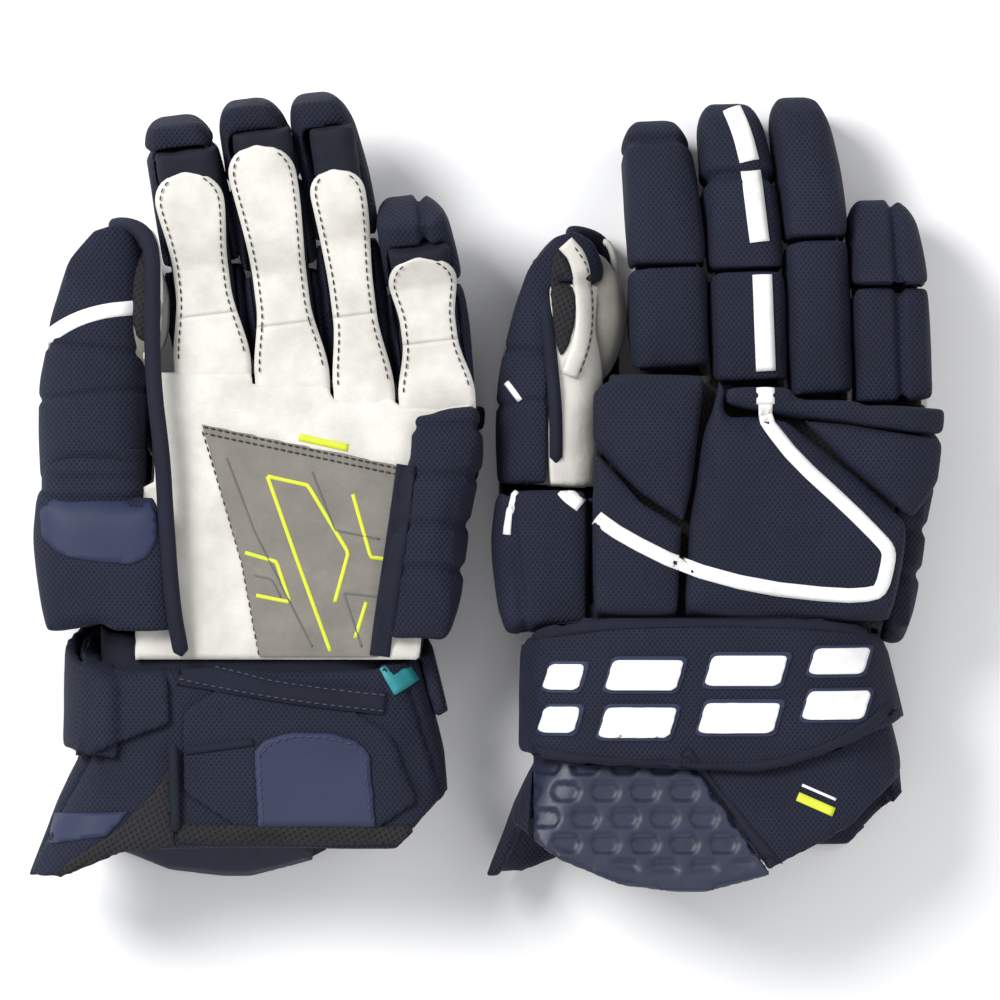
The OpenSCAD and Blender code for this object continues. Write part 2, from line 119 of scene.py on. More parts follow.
class Nodes:
    """Builds one material's node tree with short calls."""

    def __init__(self, name):
        self.mat = bpy.data.materials.new(name)
        self.mat.use_nodes = True
        self.tree = self.mat.node_tree
        self.bsdf = self.tree.nodes["Principled BSDF"]

    def add(self, kind, **settings):
        node = self.tree.nodes.new(kind)
        for key, value in settings.items():
            setattr(node, key, value)
        return node

    def link(self, source, target):
        self.tree.links.new(source, target)

    def math(self, operation, a, b=None, c=None):
        node = self.add("ShaderNodeMath", operation=operation)
        for socket, value in zip(node.inputs, (a, b, c)):
            if value is None:
                continue
            if isinstance(value, (int, float)):
                socket.default_value = value
            else:
                self.link(value, socket)
        return node.outputs[0]

    def coords(self):
        return self.add("ShaderNodeTexCoord")

    def noise(self, vector, scale, detail=3.0, rough=0.55):
        node = self.add("ShaderNodeTexNoise")
        node.inputs["Scale"].default_value = scale
        node.inputs["Detail"].default_value = detail
        node.inputs["Roughness"].default_value = rough
        self.link(vector, node.inputs["Vector"])
        return node.outputs["Fac"]

    def ramp(self, fac, stops):
        node = self.add("ShaderNodeValToRGB")
        while len(node.color_ramp.elements) < len(stops):
            node.color_ramp.elements.new(0.5)
        for element, (place, color) in zip(node.color_ramp.elements, stops):
            element.position = place
            element.color = (*color, 1)
        self.link(fac, node.inputs["Fac"])
        return node.outputs["Color"]

    def mix(self, fac, a, b, blend="MIX"):
        node = self.add("ShaderNodeMix", data_type="RGBA", blend_type=blend)
        for socket, value in ((node.inputs[0], fac), (node.inputs[6], a), (node.inputs[7], b)):
            if isinstance(value, (int, float)):
                socket.default_value = value
            elif isinstance(value, tuple):
                socket.default_value = (*value, 1)
            else:
                self.link(value, socket)
        return node.outputs[2]

    def bump(self, height, strength, distance, normal=None):
        node = self.add("ShaderNodeBump")
        node.inputs["Strength"].default_value = strength
        node.inputs["Distance"].default_value = distance
        self.link(height, node.inputs["Height"])
        if normal is not None:
            self.link(normal, node.inputs["Normal"])
        return node.outputs["Normal"]

    def box_weights(self, coords):
        """How much of each of the three flat projections shows, by the surface's own normal."""
        split = self.add("ShaderNodeSeparateXYZ")
        self.link(coords.outputs["Normal"], split.inputs[0])
        sharp = [self.math("POWER", self.math("ABSOLUTE", s), 6.0) for s in split.outputs]
        total = self.math("ADD", self.math("ADD", sharp[0], sharp[1]), sharp[2])
        return [self.math("DIVIDE", s, total) for s in sharp]

    def lattice(self, coords, pitch_u, pitch_v, turn=0.0):
        """A knit's offset cells on all sides: 0 in the holes, 1 on the yarn."""
        mapping = self.add("ShaderNodeMapping")
        mapping.inputs["Rotation"].default_value = (0, 0, turn)
        self.link(coords.outputs["Object"], mapping.inputs["Vector"])
        split = self.add("ShaderNodeSeparateXYZ")
        self.link(mapping.outputs[0], split.inputs[0])
        x, y, z = split.outputs
        weights = self.box_weights(coords)
        total = None
        for weight, (u, v) in zip(weights, ((y, z), (x, z), (x, y))):
            a = self.math("COSINE", self.math("MULTIPLY", u, 2 * math.pi / pitch_u))
            b = self.math("COSINE", self.math("MULTIPLY", v, 2 * math.pi / pitch_v))
            cell = self.math("MULTIPLY", self.math("MULTIPLY", a, b), weight)
            total = cell if total is None else self.math("ADD", total, cell)
        return self.math("MULTIPLY_ADD", total, 0.5, 0.5)


def knit_material(name, base, dark, light, pitch=(2.3, 2.9), turn=0.0, depth=0.5, rough=0.85, sheen=0.25):
    """Mesh or ribbed knit: cells with dark holes, slow colour drift and fuzz."""
    n = Nodes(name)
    coords = n.coords()
    cells = n.lattice(coords, pitch[0] * MM, pitch[1] * MM, turn)
    drift = n.noise(coords.outputs["Object"], 28.0, 4.0)
    fuzz = n.noise(coords.outputs["Object"], 2600.0, 2.0)
    tone = n.ramp(drift, [(0.3, base), (0.72, light)])
    holes = n.ramp(cells, [(0.18, (1, 1, 1)), (0.52, (0, 0, 0))])
    color = n.mix(holes, tone, dark)
    n.link(color, n.bsdf.inputs["Base Color"])
    n.bsdf.inputs["Roughness"].default_value = rough
    n.bsdf.inputs["Sheen Weight"].default_value = sheen
    n.bsdf.inputs["Sheen Roughness"].default_value = 0.4
    n.bsdf.inputs["Sheen Tint"].default_value = (*light, 1)
    n.bsdf.inputs["Specular IOR Level"].default_value = 0.35
    fine = n.bump(fuzz, 0.25, 0.0002)
    n.link(n.bump(cells, depth, 0.0007, fine), n.bsdf.inputs["Normal"])
    return n.mat


def leather_material(name, base, worn, rough=0.48, grain=1400.0, depth=0.25):
    """Smooth synthetic leather: fine grain, soft creases and slightly greyer worn areas."""
    n = Nodes(name)
    coords = n.coords()
    wear = n.noise(coords.outputs["Object"], 35.0, 5.0, 0.6)
    n.link(n.ramp(wear, [(0.35, base), (0.75, worn)]), n.bsdf.inputs["Base Color"])
    cells = n.add("ShaderNodeTexVoronoi")
    cells.inputs["Scale"].default_value = grain
    n.link(coords.outputs["Object"], cells.inputs["Vector"])
    crease = n.noise(coords.outputs["Object"], 120.0, 6.0, 0.65)
    soft = n.bump(crease, 0.35, 0.0012)
    n.link(n.bump(cells.outputs["Distance"], depth, 0.0002, soft), n.bsdf.inputs["Normal"])
    rough_map = n.math("MULTIPLY_ADD", wear, 0.25, rough - 0.12)
    n.link(rough_map, n.bsdf.inputs["Roughness"])
    return n.mat


def suede_material(name, base, worn):
    n = Nodes(name)
    coords = n.coords()
    nap = n.noise(coords.outputs["Object"], 900.0, 5.0, 0.7)
    brushed = n.noise(coords.outputs["Object"], 60.0, 5.0, 0.65)
    tone = n.ramp(brushed, [(0.3, base), (0.7, worn)])
    n.link(n.mix(n.math("MULTIPLY", nap, 0.5), tone, tuple(c * 0.55 for c in base)),
           n.bsdf.inputs["Base Color"])
    n.bsdf.inputs["Roughness"].default_value = 0.95
    n.bsdf.inputs["Sheen Weight"].default_value = 0.35
    n.bsdf.inputs["Specular IOR Level"].default_value = 0.2
    n.link(n.bump(nap, 0.5, 0.0003), n.bsdf.inputs["Normal"])
    return n.mat


def plastic_material(name, base, worn, rough=0.4, speck=500.0):
    """Moulded or coated trim: slight orange peel and scuffed patches."""
    n = Nodes(name)
    coords = n.coords()
    scuff = n.noise(coords.outputs["Object"], 90.0, 6.0, 0.7)
    peel = n.noise(coords.outputs["Object"], speck, 3.0)
    n.link(n.ramp(scuff, [(0.4, base), (0.8, worn)]), n.bsdf.inputs["Base Color"])
    n.link(n.math("MULTIPLY_ADD", scuff, 0.3, rough - 0.15), n.bsdf.inputs["Roughness"])
    n.link(n.bump(peel, 0.15, 0.0003), n.bsdf.inputs["Normal"])
    return n.mat


NAVY = (0.0052, 0.0074, 0.0215)
NAVY_LIGHT = (0.0092, 0.0128, 0.0340)
NAVY_DARK = (0.0006, 0.0009, 0.0030)
MESH = knit_material("mesh_knit_navy", NAVY, NAVY_DARK, NAVY_LIGHT)
RIB = knit_material("ribbed_knit_navy", (0.0046, 0.0064, 0.0180), NAVY_DARK, (0.0075, 0.0105, 0.0280),
                    pitch=(1.1, 1.5), turn=0.5, depth=0.35)
SMOOTH = knit_material("smooth_cloth_navy", (0.0155, 0.0215, 0.058), (0.0100, 0.0140, 0.040),
                       (0.0190, 0.0260, 0.069),
                       pitch=(0.9, 0.9), turn=0.785, depth=0.15, rough=0.6)
GUSSET = knit_material("gusset_knit_dark", (0.0045, 0.0060, 0.0150), (0.0012, 0.0012, 0.0035),
                       (0.0070, 0.0090, 0.0210),
                       pitch=(1.4, 1.4), turn=0.4, depth=0.3)
LINING = knit_material("lining_knit_black", (0.010, 0.010, 0.012), (0.002, 0.002, 0.003),
                       (0.018, 0.018, 0.021),
                       pitch=(3.0, 3.6), turn=0.3, depth=0.5)
LEATHER = leather_material("palm_leather_white", (0.66, 0.64, 0.59), (0.45, 0.43, 0.385))
SUEDE = suede_material("palm_suede_grey", (0.24, 0.225, 0.195), (0.17, 0.16, 0.14))
WHITE_TRIM = plastic_material("trim_white", (0.82, 0.82, 0.80), (0.66, 0.66, 0.65))
MOULDED = plastic_material("moulded_navy", (0.0085, 0.0120, 0.0330), (0.0150, 0.0205, 0.0520), rough=0.5)
YELLOW = plastic_material("print_yellow", (0.62, 0.68, 0.03), (0.50, 0.55, 0.03), rough=0.6)
TEAL = plastic_material("tag_teal", (0.020, 0.230, 0.260), (0.015, 0.180, 0.200), rough=0.6)
DARK_PRINT = plastic_material("print_grey", (0.10, 0.10, 0.095), (0.14, 0.14, 0.13), rough=0.7)
BLACK_THREAD = plastic_material("thread_black", (0.012, 0.012, 0.014), (0.03, 0.03, 0.035), rough=0.7)
NAVY_THREAD = plastic_material("thread_navy", (0.030, 0.040, 0.090), (0.045, 0.060, 0.120), rough=0.6)


# ---------------------------------------------------------------- mesh helpers

def rounded_power(value, power):
    """A sine or cosine raised to a power with its sign kept, which squares off an oval."""
    return math.copysign(abs(value) ** power, value)


def quads(rows, columns, closed=False):
    """Faces of a grid of points; a closed one joins each row's end to its start."""
    faces = []
    for j in range(rows - 1):
        for i in range(columns if closed else columns - 1):
            q = (i + 1) % columns
            faces.append([j * columns + i, j * columns + q, (j + 1) * columns + q, (j + 1) * columns + i])
    return faces


def mesh_of(verts, faces):
    mesh = bpy.data.meshes.new("shape")
    mesh.from_pydata([tuple(v) for v in verts], [], faces)
    mesh.update()
    return mesh


def cad_copy(*nodes):
    """The right glove's CAD solids as one clean mesh."""
    bm = bmesh.new()
    for node in nodes:
        bm.from_mesh(frame["nodes"][f"right_{node}"].data)
    bmesh.ops.remove_doubles(bm, verts=bm.verts, dist=1e-6)
    mesh = bpy.data.meshes.new("cad_copy")
    bm.to_mesh(mesh)
    bm.free()
    return mesh


def loose_parts(mesh):
    """The separate solids of a mesh, from low x to high x."""
    bm = bmesh.new()
    bm.from_mesh(mesh)
    left, parts = set(bm.verts), []
    while left:
        seed = next(iter(left))
        group, edge = {seed}, [seed]
        while edge:
            v = edge.pop()
            for e in v.link_edges:
                w = e.other_vert(v)
                if w not in group:
                    group.add(w)
                    edge.append(w)
        left -= group
        index = {v: i for i, v in enumerate(sorted(group, key=lambda v: v.index))}
        faces = [[index[v] for v in f.verts] for f in bm.faces if f.verts[0] in group]
        parts.append(mesh_of([v.co for v in index], faces))
    bm.free()
    return sorted(parts, key=lambda m: sum(v.co.x for v in m.vertices) / len(m.vertices))


def apply_modifiers(mesh, *steps):
    """The mesh after modifiers, each given as (type, settings)."""
    obj = bpy.data.objects.new("work", mesh)
    SCENE.collection.objects.link(obj)
    for kind, settings in steps:
        mod = obj.modifiers.new(kind, kind)
        for key, value in settings.items():
            setattr(mod, key, value)
    bpy.context.view_layer.update()
    done = bpy.data.meshes.new_from_object(obj.evaluated_get(bpy.context.evaluated_depsgraph_get()))
    bpy.data.objects.remove(obj)
    return done


def remeshed(mesh, voxel, smooth=4):
    steps = [("REMESH", {"mode": "VOXEL", "voxel_size": voxel * MM, "use_smooth_shade": True})]
    if smooth:
        steps.append(("SMOOTH", {"factor": 0.5, "iterations": smooth}))
    return apply_modifiers(mesh, *steps)


def smooth_shaded(mesh):
    for polygon in mesh.polygons:
        polygon.use_smooth = True
    return mesh


PADS = {}


def plan_pad(name, mesh, voxel=3.0, shrink=1.2, cap=3.0, smooth=3, pressure=4.0):
    """Queues a pad for the shared cloth simulation."""
    base = remeshed(mesh, voxel, smooth)
    for v, shift in [(v, v.normal.copy() * (shrink * MM)) for v in base.vertices]:
        v.co -= shift
    obj = bpy.data.objects.new(f"sim_{name}", base)
    SCENE.collection.objects.link(obj)
    PADS[name] = {"obj": obj, "cap": cap * MM, "start": [v.co.copy() for v in base.vertices]}
    cloth = obj.modifiers.new("Cloth", "CLOTH")
    cloth.settings.use_pressure = True
    cloth.settings.uniform_pressure_force = pressure
    cloth.settings.effector_weights.gravity = 0
    cloth.settings.quality = 4
    cloth.settings.mass = 0.25
    cloth.settings.tension_stiffness = 12
    cloth.settings.compression_stiffness = 12
    cloth.settings.shear_stiffness = 6
    cloth.settings.bending_stiffness = 0.4
    cloth.collision_settings.use_collision = False
    cloth.point_cache.frame_start = 1
    cloth.point_cache.frame_end = 14


def puff_pads():
    """Inflates every queued pad at once, limits how far it moved and refines it."""
    last = 14
    for number in range(1, last + 1):
        SCENE.frame_set(number)
    graph = bpy.context.evaluated_depsgraph_get()
    for pad in PADS.values():
        obj = pad["obj"]
        mesh = bpy.data.meshes.new_from_object(obj.evaluated_get(graph))
        for v, start, at_rest in zip(mesh.vertices, pad["start"], obj.data.vertices):
            move = v.co - start
            if move.length > pad["cap"]:
                move *= pad["cap"] / move.length
            v.co = start + move
        pad["mesh"] = apply_modifiers(mesh, ("SMOOTH", {"factor": 0.4, "iterations": 2}),
                                      ("SUBSURF", {"levels": 1, "render_levels": 1}))
        smooth_shaded(pad["mesh"])
        bpy.data.objects.remove(obj)
    SCENE.frame_set(1)


def wrinkled(mesh, size, depth, seed):
    """Small uneven dents all over a surface."""
    offset = Vector((seed * 7.3, seed * 3.1, seed * 5.7))
    for v, normal in [(v, v.normal.copy()) for v in mesh.vertices]:
        v.co += normal * (noise.noise(v.co / (size * MM) + offset) * depth * MM)
    return mesh


class Surface:
    """The visible surface of some meshes, to lay trim on."""

    def __init__(self, *meshes):
        verts, faces = [], []
        for mesh in meshes:
            base = len(verts)
            verts += [v.co for v in mesh.vertices]
            faces += [[base + i for i in p.vertices] for p in mesh.polygons]
        self.tree = BVHTree.FromPolygons(verts, faces)

    def below(self, point, down=Vector((0, 0, -1))):
        """Where a line from point along down first meets the surface: (place, normal), or None."""
        place, normal, _, _ = self.tree.ray_cast(point - down * 0.3, down)
        if place is None:
            return None
        if normal.dot(down) > 0:
            normal = -normal
        return place, normal

    def nearest(self, point):
        place, normal, _, _ = self.tree.find_nearest(point)
        return place, normal


def resample(points, step):
    """Evenly spaced points along a polyline."""
    points = [Vector(p) for p in points]
    lengths = [0.0]
    for a, b in zip(points, points[1:]):
        lengths.append(lengths[-1] + (b - a).length)
    count = max(2, round(lengths[-1] / step) + 1)
    out, k = [], 0
    for i in range(count):
        want = lengths[-1] * i / (count - 1)
        while k < len(points) - 2 and lengths[k + 1] < want:
            k += 1
        span = lengths[k + 1] - lengths[k] or 1
        out.append(points[k].lerp(points[k + 1], (want - lengths[k]) / span))
    return out


def rounded(points, times=2, closed=False):
    """A polyline with its corners cut round."""
    points = [Vector(p) for p in points]
    for _ in range(times):
        out = [] if closed else [points[0]]
        pairs = list(zip(points, points[1:] + points[:1])) if closed else list(zip(points, points[1:]))
        for a, b in pairs:
            out += [a.lerp(b, 0.25), a.lerp(b, 0.75)]
        if not closed:
            out.append(points[-1])
        points = out
    return points


def laid(points, surface, lift, down=Vector((0, 0, -1)), even=2):
    """Points dropped on a surface: [(place, normal)], with steps evened out."""
    hits = [surface.below(p, down) for p in points]
    known = [h for h in hits if h] or [surface.nearest(p) for p in points]
    hits = [h or min(known, key=lambda k: (k[0] - p).length) for h, p in zip(hits, points)]
    places = [h[0] for h in hits]
    normals = [h[1] for h in hits]
    for _ in range(even):
        heights = [p.z for p in places]
        for i in range(1, len(places) - 1):
            places[i] = places[i].copy()
            places[i].z = (heights[i - 1] + 2 * heights[i] + heights[i + 1]) / 4
            normals[i] = (normals[i - 1] + normals[i] * 2 + normals[i + 1]).normalized()
    return [(p + n * (lift * MM), n) for p, n in zip(places, normals)]


def ribbon(path, width, surface, lift=0.5, down=Vector((0, 0, -1)), step=2.0, across=5, crown=0.3, even=3):
    """A flat strip of cloth or film laid on a surface along a path, with its edges turned down."""
    line = resample(path, step * MM)
    rows = []
    widths = width if callable(width) else (lambda t: width)
    for i, p in enumerate(line):
        ahead = (line[min(i + 1, len(line) - 1)] - line[max(i - 1, 0)])
        side = ahead.cross(down).normalized()
        half = widths(i / (len(line) - 1)) * MM / 2
        rows.append([p + side * (half * (2 * k / (across - 1) - 1)) for k in range(across)])
    columns = [laid([row[k] for row in rows], surface, lift, down, even) for k in range(across)]
    verts, faces = [], []
    per = across + 2
    for i in range(len(line)):
        normal = columns[across // 2][i][1]
        ring = [columns[k][i][0] + normal * (crown * MM * (1 - (2 * k / (across - 1) - 1) ** 2))
                for k in range(across)]
        verts += [ring[0] - normal * (1.4 * lift * MM), *ring, ring[-1] - normal * (1.4 * lift * MM)]
    for i in range(len(line) - 1):
        for k in range(per - 1):
            a = i * per + k
            faces.append([a, a + 1, a + per + 1, a + per])
        faces.append([i * per + per - 1, i * per, (i + 1) * per, (i + 1) * per + per - 1])
    faces.append(list(range(per)))
    faces.append(list(range((len(line) - 1) * per, len(line) * per))[::-1])
    return tidy_normals(mesh_of(verts, faces))


def tidy_normals(mesh):
    bm = bmesh.new()
    bm.from_mesh(mesh)
    bmesh.ops.recalc_face_normals(bm, faces=bm.faces)
    bm.to_mesh(mesh)
    bm.free()
    return smooth_shaded(mesh)


def tube(path, radius, sides=10, step=2.0):
    """A round cord of piping along a path, with closed round ends."""
    line = resample(path, step * MM)
    verts, count = [], len(line)
    for i, p in enumerate(line):
        before = line[i - 1] if i else p
        after = line[i + 1] if i < count - 1 else p
        ahead = (after - before).normalized()
        side = ahead.cross(UP)
        side = side.normalized() if side.length > 1e-6 else Vector((1, 0, 0))
        top = side.cross(ahead).normalized()
        gone = min(i, count - 1 - i) * step / radius
        size = radius * MM * math.sqrt(max(0.02, 1 - max(0.0, 1 - gone) ** 2))
        for k in range(sides):
            a = 2 * math.pi * k / sides
            verts.append(p + side * (math.cos(a) * size) + top * (math.sin(a) * size))
    faces = quads(count, sides, True)
    faces.append(list(range(sides))[::-1])
    faces.append(list(range((count - 1) * sides, count * sides)))
    return tidy_normals(mesh_of(verts, faces))


def stitches(line, length=2.6, gap=1.4, thick=0.35, sides=6):
    """A row of separate thread dashes along [(place, normal)], each arched over the cloth."""
    verts, faces = [], []
    places = [p for p, _ in line]
    dense = resample(places, 0.4 * MM)
    normals = []
    k = 0
    for p in dense:
        while k < len(places) - 2 and (places[k + 1] - p).length < (places[k] - p).length:
            k += 1
        normals.append(line[k][1])
    per = round(length / 0.4)
    pause = round(gap / 0.4)
    start = 0
    while start + per < len(dense):
        part = dense[start:start + per + 1:max(1, per // 4)]
        base = len(verts)
        for i, p in enumerate(part):
            t = i / (len(part) - 1)
            normal = normals[start + i * max(1, per // 4)]
            ahead = (part[-1] - part[0]).normalized()
            side = ahead.cross(normal).normalized()
            size = thick * MM * (0.35 + 0.65 * math.sin(math.pi * min(max(t, 0.08), 0.92)))
            centre = p + normal * (thick * MM * (0.9 * math.sin(math.pi * t) - 0.3))
            for q in range(sides):
                a = 2 * math.pi * q / sides
                verts.append(centre + side * (math.cos(a) * size) + normal * (math.sin(a) * size))
        for i in range(len(part) - 1):
            for q in range(sides):
                a = base + i * sides
                faces.append([a + q, a + (q + 1) % sides, a + sides + (q + 1) % sides, a + sides + q])
        faces.append([base + q for q in range(sides)][::-1])
        last = base + (len(part) - 1) * sides
        faces.append([last + q for q in range(sides)])
        start += per + pause
    return tidy_normals(mesh_of(verts, faces))


def inside(point, loop):
    """Whether a point of the plan lies inside a closed loop."""
    hit = False
    for a, b in zip(loop, loop[1:] + loop[:1]):
        if (a.y > point.y) != (b.y > point.y) and point.x < a.x + (point.y - a.y) * (b.x - a.x) / (b.y - a.y):
            hit = not hit
    return hit


def patch(outline, surface, lift, thick, spacing=3.0, down=Vector((0, 0, -1))):
    """A flat cut piece with any outline, laid on a surface and given a thickness."""
    edge = resample([*outline, outline[0]], spacing * MM)[:-1]
    low = [min(p[k] for p in edge) for k in (0, 1)]
    high = [max(p[k] for p in edge) for k in (0, 1)]
    points = [Vector((p.x, p.y)) for p in edge]
    row = 0
    y = low[1] + spacing * MM / 2
    while y < high[1]:
        x = low[0] + (0.5 if row % 2 else 0.0) * spacing * MM
        while x < high[0]:
            q = Vector((x, y))
            if min((q - Vector((p.x, p.y))).length for p in edge) > 0.55 * spacing * MM:
                points.append(q)
            x += spacing * MM
        y += spacing * MM * 0.87
        row += 1
    links = [(i, (i + 1) % len(edge)) for i in range(len(edge))]
    out = delaunay_2d_cdt(points, links, [], 0, 1e-7)
    kept = []
    for f in out[2]:
        middle = sum((out[0][i] for i in f), Vector((0, 0))) / len(f)
        if inside(middle, edge):
            kept.append(list(f))
    used = sorted({i for f in kept for i in f})
    place_of = {old: new for new, old in enumerate(used)}
    height = edge[0].z
    flat = [out[0][i] for i in used]
    hits = [surface.below(Vector((p.x, p.y, height)), down) for p in flat]
    known = [h for h in hits if h]
    hits = [h or min(known, key=lambda k: (k[0].xy - p).length) for h, p in zip(hits, flat)]
    top = [h[0] + h[1] * (lift * MM) for h in hits]
    mesh = mesh_of(top, [[place_of[i] for i in f] for f in kept])
    mesh = apply_modifiers(mesh, ("SMOOTH", {"factor": 0.5, "iterations": 2}))
    bm = bmesh.new()
    bm.from_mesh(mesh)
    bmesh.ops.recalc_face_normals(bm, faces=bm.faces)
    if sum(f.normal.dot(down) * f.calc_area() for f in bm.faces) > 0:
        bmesh.ops.reverse_faces(bm, faces=bm.faces)
    bm.to_mesh(mesh)
    bm.free()
    mesh = apply_modifiers(mesh, ("SOLIDIFY", {"thickness": thick * MM, "offset": -1.0}))
    return smooth_shaded(mesh)


def joined(*meshes):
    """Several meshes as one."""
    verts, faces = [], []
    for mesh in meshes:
        base = len(verts)
        verts += [v.co.copy() for v in mesh.vertices]
        faces += [[base + i for i in p.vertices] for p in mesh.polygons]
    return smooth_shaded(mesh_of(verts, faces))


# ---------------------------------------------------------------- pieces

def smooth_step(t):
    t = min(1.0, max(0.0, t))
    return t * t * (3 - 2 * t)


GROUND = 0.0


def place_piece(name, mesh, part, materials, nodes=(), across=None):
    """Puts a piece of the right glove in the scene, and its mirror image on the left glove.

    across = (other part, start, end) blends it over the joint between the two parts.
    """
    if not isinstance(materials, (list, tuple)):
        materials = [materials]
    made = []
    for side in ("right", "left"):
        data = mesh if side == "right" else mesh.copy()
        data.name = f"{side}_{name}"
        if side == "left":
            near = mirror_map(part)
            if across:
                far, (start, end) = mirror_map(across[0]), across[1:]
                way = end - start
                for v in data.vertices:
                    t = smooth_step((v.co - start).dot(way) / way.length_squared)
                    v.co = (near @ v.co).lerp(far @ v.co, t)
            else:
                data.transform(near)
            data.flip_normals()
        for v in data.vertices:
            v.co.z = max(v.co.z, GROUND)
        data.materials.clear()
        for material in materials:
            data.materials.append(material)
        obj = bpy.data.objects.new(f"{side}_{name}", data)
        SCENE.collection.objects.link(obj)
        if across:
            ends = across[1:] if side == "right" else [mirror_map(part) @ across[1],
                                                       mirror_map(across[0]) @ across[2]]
            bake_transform(obj)
        else:
            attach(obj, f"{side}_{part}")
        if nodes:
            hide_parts(*[f"{side}_{node}" for node in nodes])
        made.append(obj)
    return made


# ---------------------------------------------------------------- places on the fingers

UP = Vector((0, 0, 1))
FRAMES = {f: finger_frame("right", f) for f in FINGERS}
LOWER_L = {f: (joint_at(f"right_{f}_joint") - joint_at(f"right_{f}_knuckle")).length / MM for f in FINGERS}
KNUCKLE_Y = {f: (joint_at(f"right_{f}_knuckle").y - PLAN_Y) / MM for f in FINGERS}


def node_points(node):
    return [v.co for v in frame["nodes"][f"right_{node}"].data.vertices]


def bend_of(finger):
    """The bend sewn into a finger's middle joint, from its fingertip's lowest point."""
    low = min((FRAMES[finger].inverted() @ p for p in node_points(f"{finger}_upper_stall")),
              key=lambda p: p.z)
    return math.atan2(-low.z, low.y - LOWER_L[finger] * MM)


BEND = {f: bend_of(f) for f in FINGERS}
WIDTH = {f: (max((FRAMES[f].inverted() @ p).x for p in node_points(f"{f}_lower_roll"))
             - min((FRAMES[f].inverted() @ p).x for p in node_points(f"{f}_lower_roll"))) / MM for f in FINGERS}
STALL_END = {f: max(((FRAMES[f].inverted() @ p).y / MM - LOWER_L[f]) / math.cos(BEND[f])
                    for p in node_points(f"{f}_upper_stall") if (FRAMES[f].inverted() @ p).z < 0)
             for f in FINGERS}


def finger_point(finger, across, along, up=0.0):
    """A point on a finger in mm from its knuckle; past the middle joint it follows the sewn-in bend."""
    past = along - LOWER_L[finger]
    if past > 0:
        c, s = math.cos(BEND[finger]), math.sin(BEND[finger])
        along, up = LOWER_L[finger] + past * c + up * s, up * c - past * s
    return FRAMES[finger] @ Vector((across * MM, along * MM, up * MM))


def direction(finger, past_joint=False):
    start = LOWER_L[finger] + 1 if past_joint else 0
    return (finger_point(finger, 0, start + 10) - finger_point(finger, 0, start)).normalized()


def plan(*points, z=0.0):
    return [at(x, y, z) for x, y in points]


# ---------------------------------------------------------------- pads

back_bars = loose_parts(cad_copy("back_pads"))
thumb_sides = loose_parts(cad_copy("thumb_side_pads"))
plan_pad("knuckle_pad", cad_copy("knuckle_pad"), shrink=0.6, cap=3.6)
plan_pad("centre_back_pad", back_bars[0], shrink=0.6, cap=4.0)
plan_pad("knuckle_roll", back_bars[1], voxel=2.5, shrink=0.3, cap=2.0)
plan_pad("outer_pad", cad_copy("outer_pad"), shrink=0.6, cap=3.6)
plan_pad("thumb_base_pad", thumb_sides[0], shrink=0.6, cap=3.2)
plan_pad("thumb_hand_pad", thumb_sides[1], shrink=0.6, cap=3.6)
plan_pad("side_roll", cad_copy("side_roll"), shrink=0.6, cap=3.0)
plan_pad("thumb_guard", cad_copy("thumb_guard"), voxel=2.5, shrink=0.8, cap=2.0)
plan_pad("wrist_band", cad_copy("wrist_band"), voxel=2.5, shrink=0.3, cap=1.6)
plan_pad("cuff_panels", cad_copy("cuff_panels"), voxel=2.5, shrink=0.3, cap=1.4)
plan_pad("cuff_palm", cad_copy("cuff_palm"), voxel=2.5, shrink=0.3, cap=1.4)
for finger in FINGERS:
    for part in ("lower", "upper"):
        plan_pad(f"{finger}_{part}_roll", cad_copy(f"{finger}_{part}_roll"), voxel=2.4, shrink=0.5, cap=2.6)
puff_pads()

HAND_PADS = ["knuckle_pad", "centre_back_pad", "knuckle_roll", "outer_pad", "thumb_base_pad",
             "thumb_hand_pad",
             "side_roll"]
CUFF_PADS = ["wrist_band", "cuff_panels", "cuff_palm"]
BODY_OF = {**{p: "hand" for p in HAND_PADS}, **{p: "cuff" for p in CUFF_PADS}, "thumb_guard": "thumb",
           **{f"{f}_{part}_roll": f"{f}_{part}" for f in FINGERS for part in ("lower", "upper")}}
STANDS_FOR = {"centre_back_pad": ["back_pads"], "knuckle_roll": ["back_pads"],
              "thumb_base_pad": ["thumb_side_pads"], "thumb_hand_pad": ["thumb_side_pads"]}


def channel(mesh, origin, normal, width, depth, where=None):
    """Presses a sewn channel into a pad where a plane cuts it."""
    for v, out in [(v, v.normal.copy()) for v in mesh.vertices]:
        away = abs((v.co - origin).dot(normal)) / (width * MM)
        if away < 1 and (where is None or where(v.co)):
            v.co -= out * (depth * MM * (0.5 + 0.5 * math.cos(math.pi * away)))
    mesh.update()


def shape_tip(finger, lean, narrow, round_off):
    """Gives a fingertip's roll its outline: it leans sideways, narrows and ends round, as seen from above."""
    mesh = PADS[f"{finger}_upper_roll"]["mesh"]
    frame_of, back = FRAMES[finger], FRAMES[finger].inverted()
    tip = max((back @ v.co).y for v in mesh.vertices)
    start = LOWER_L[finger] * MM
    for v in mesh.vertices:
        p = back @ v.co
        t = min(max((p.y - start) / (tip - start), 0.0), 1.0)
        squeeze = 1 - narrow * t
        left = (tip - p.y) / (round_off * MM)
        if left < 1:
            squeeze *= 0.42 + 0.58 * math.sqrt(max(0.0, 1 - (1 - left) ** 2))
        p.x = p.x * squeeze + (lean * MM) * t * t
        v.co = frame_of @ p
    mesh.update()


for finger, lean, narrow, round_off in (("index", -4.0, 0.16, 15), ("middle", -5.5, 0.14, 16),
                                        ("ring", -6.5, 0.06, 17),
                                        ("pinky", -4.0, 0.12, 15)):
    shape_tip(finger, lean, narrow, round_off)

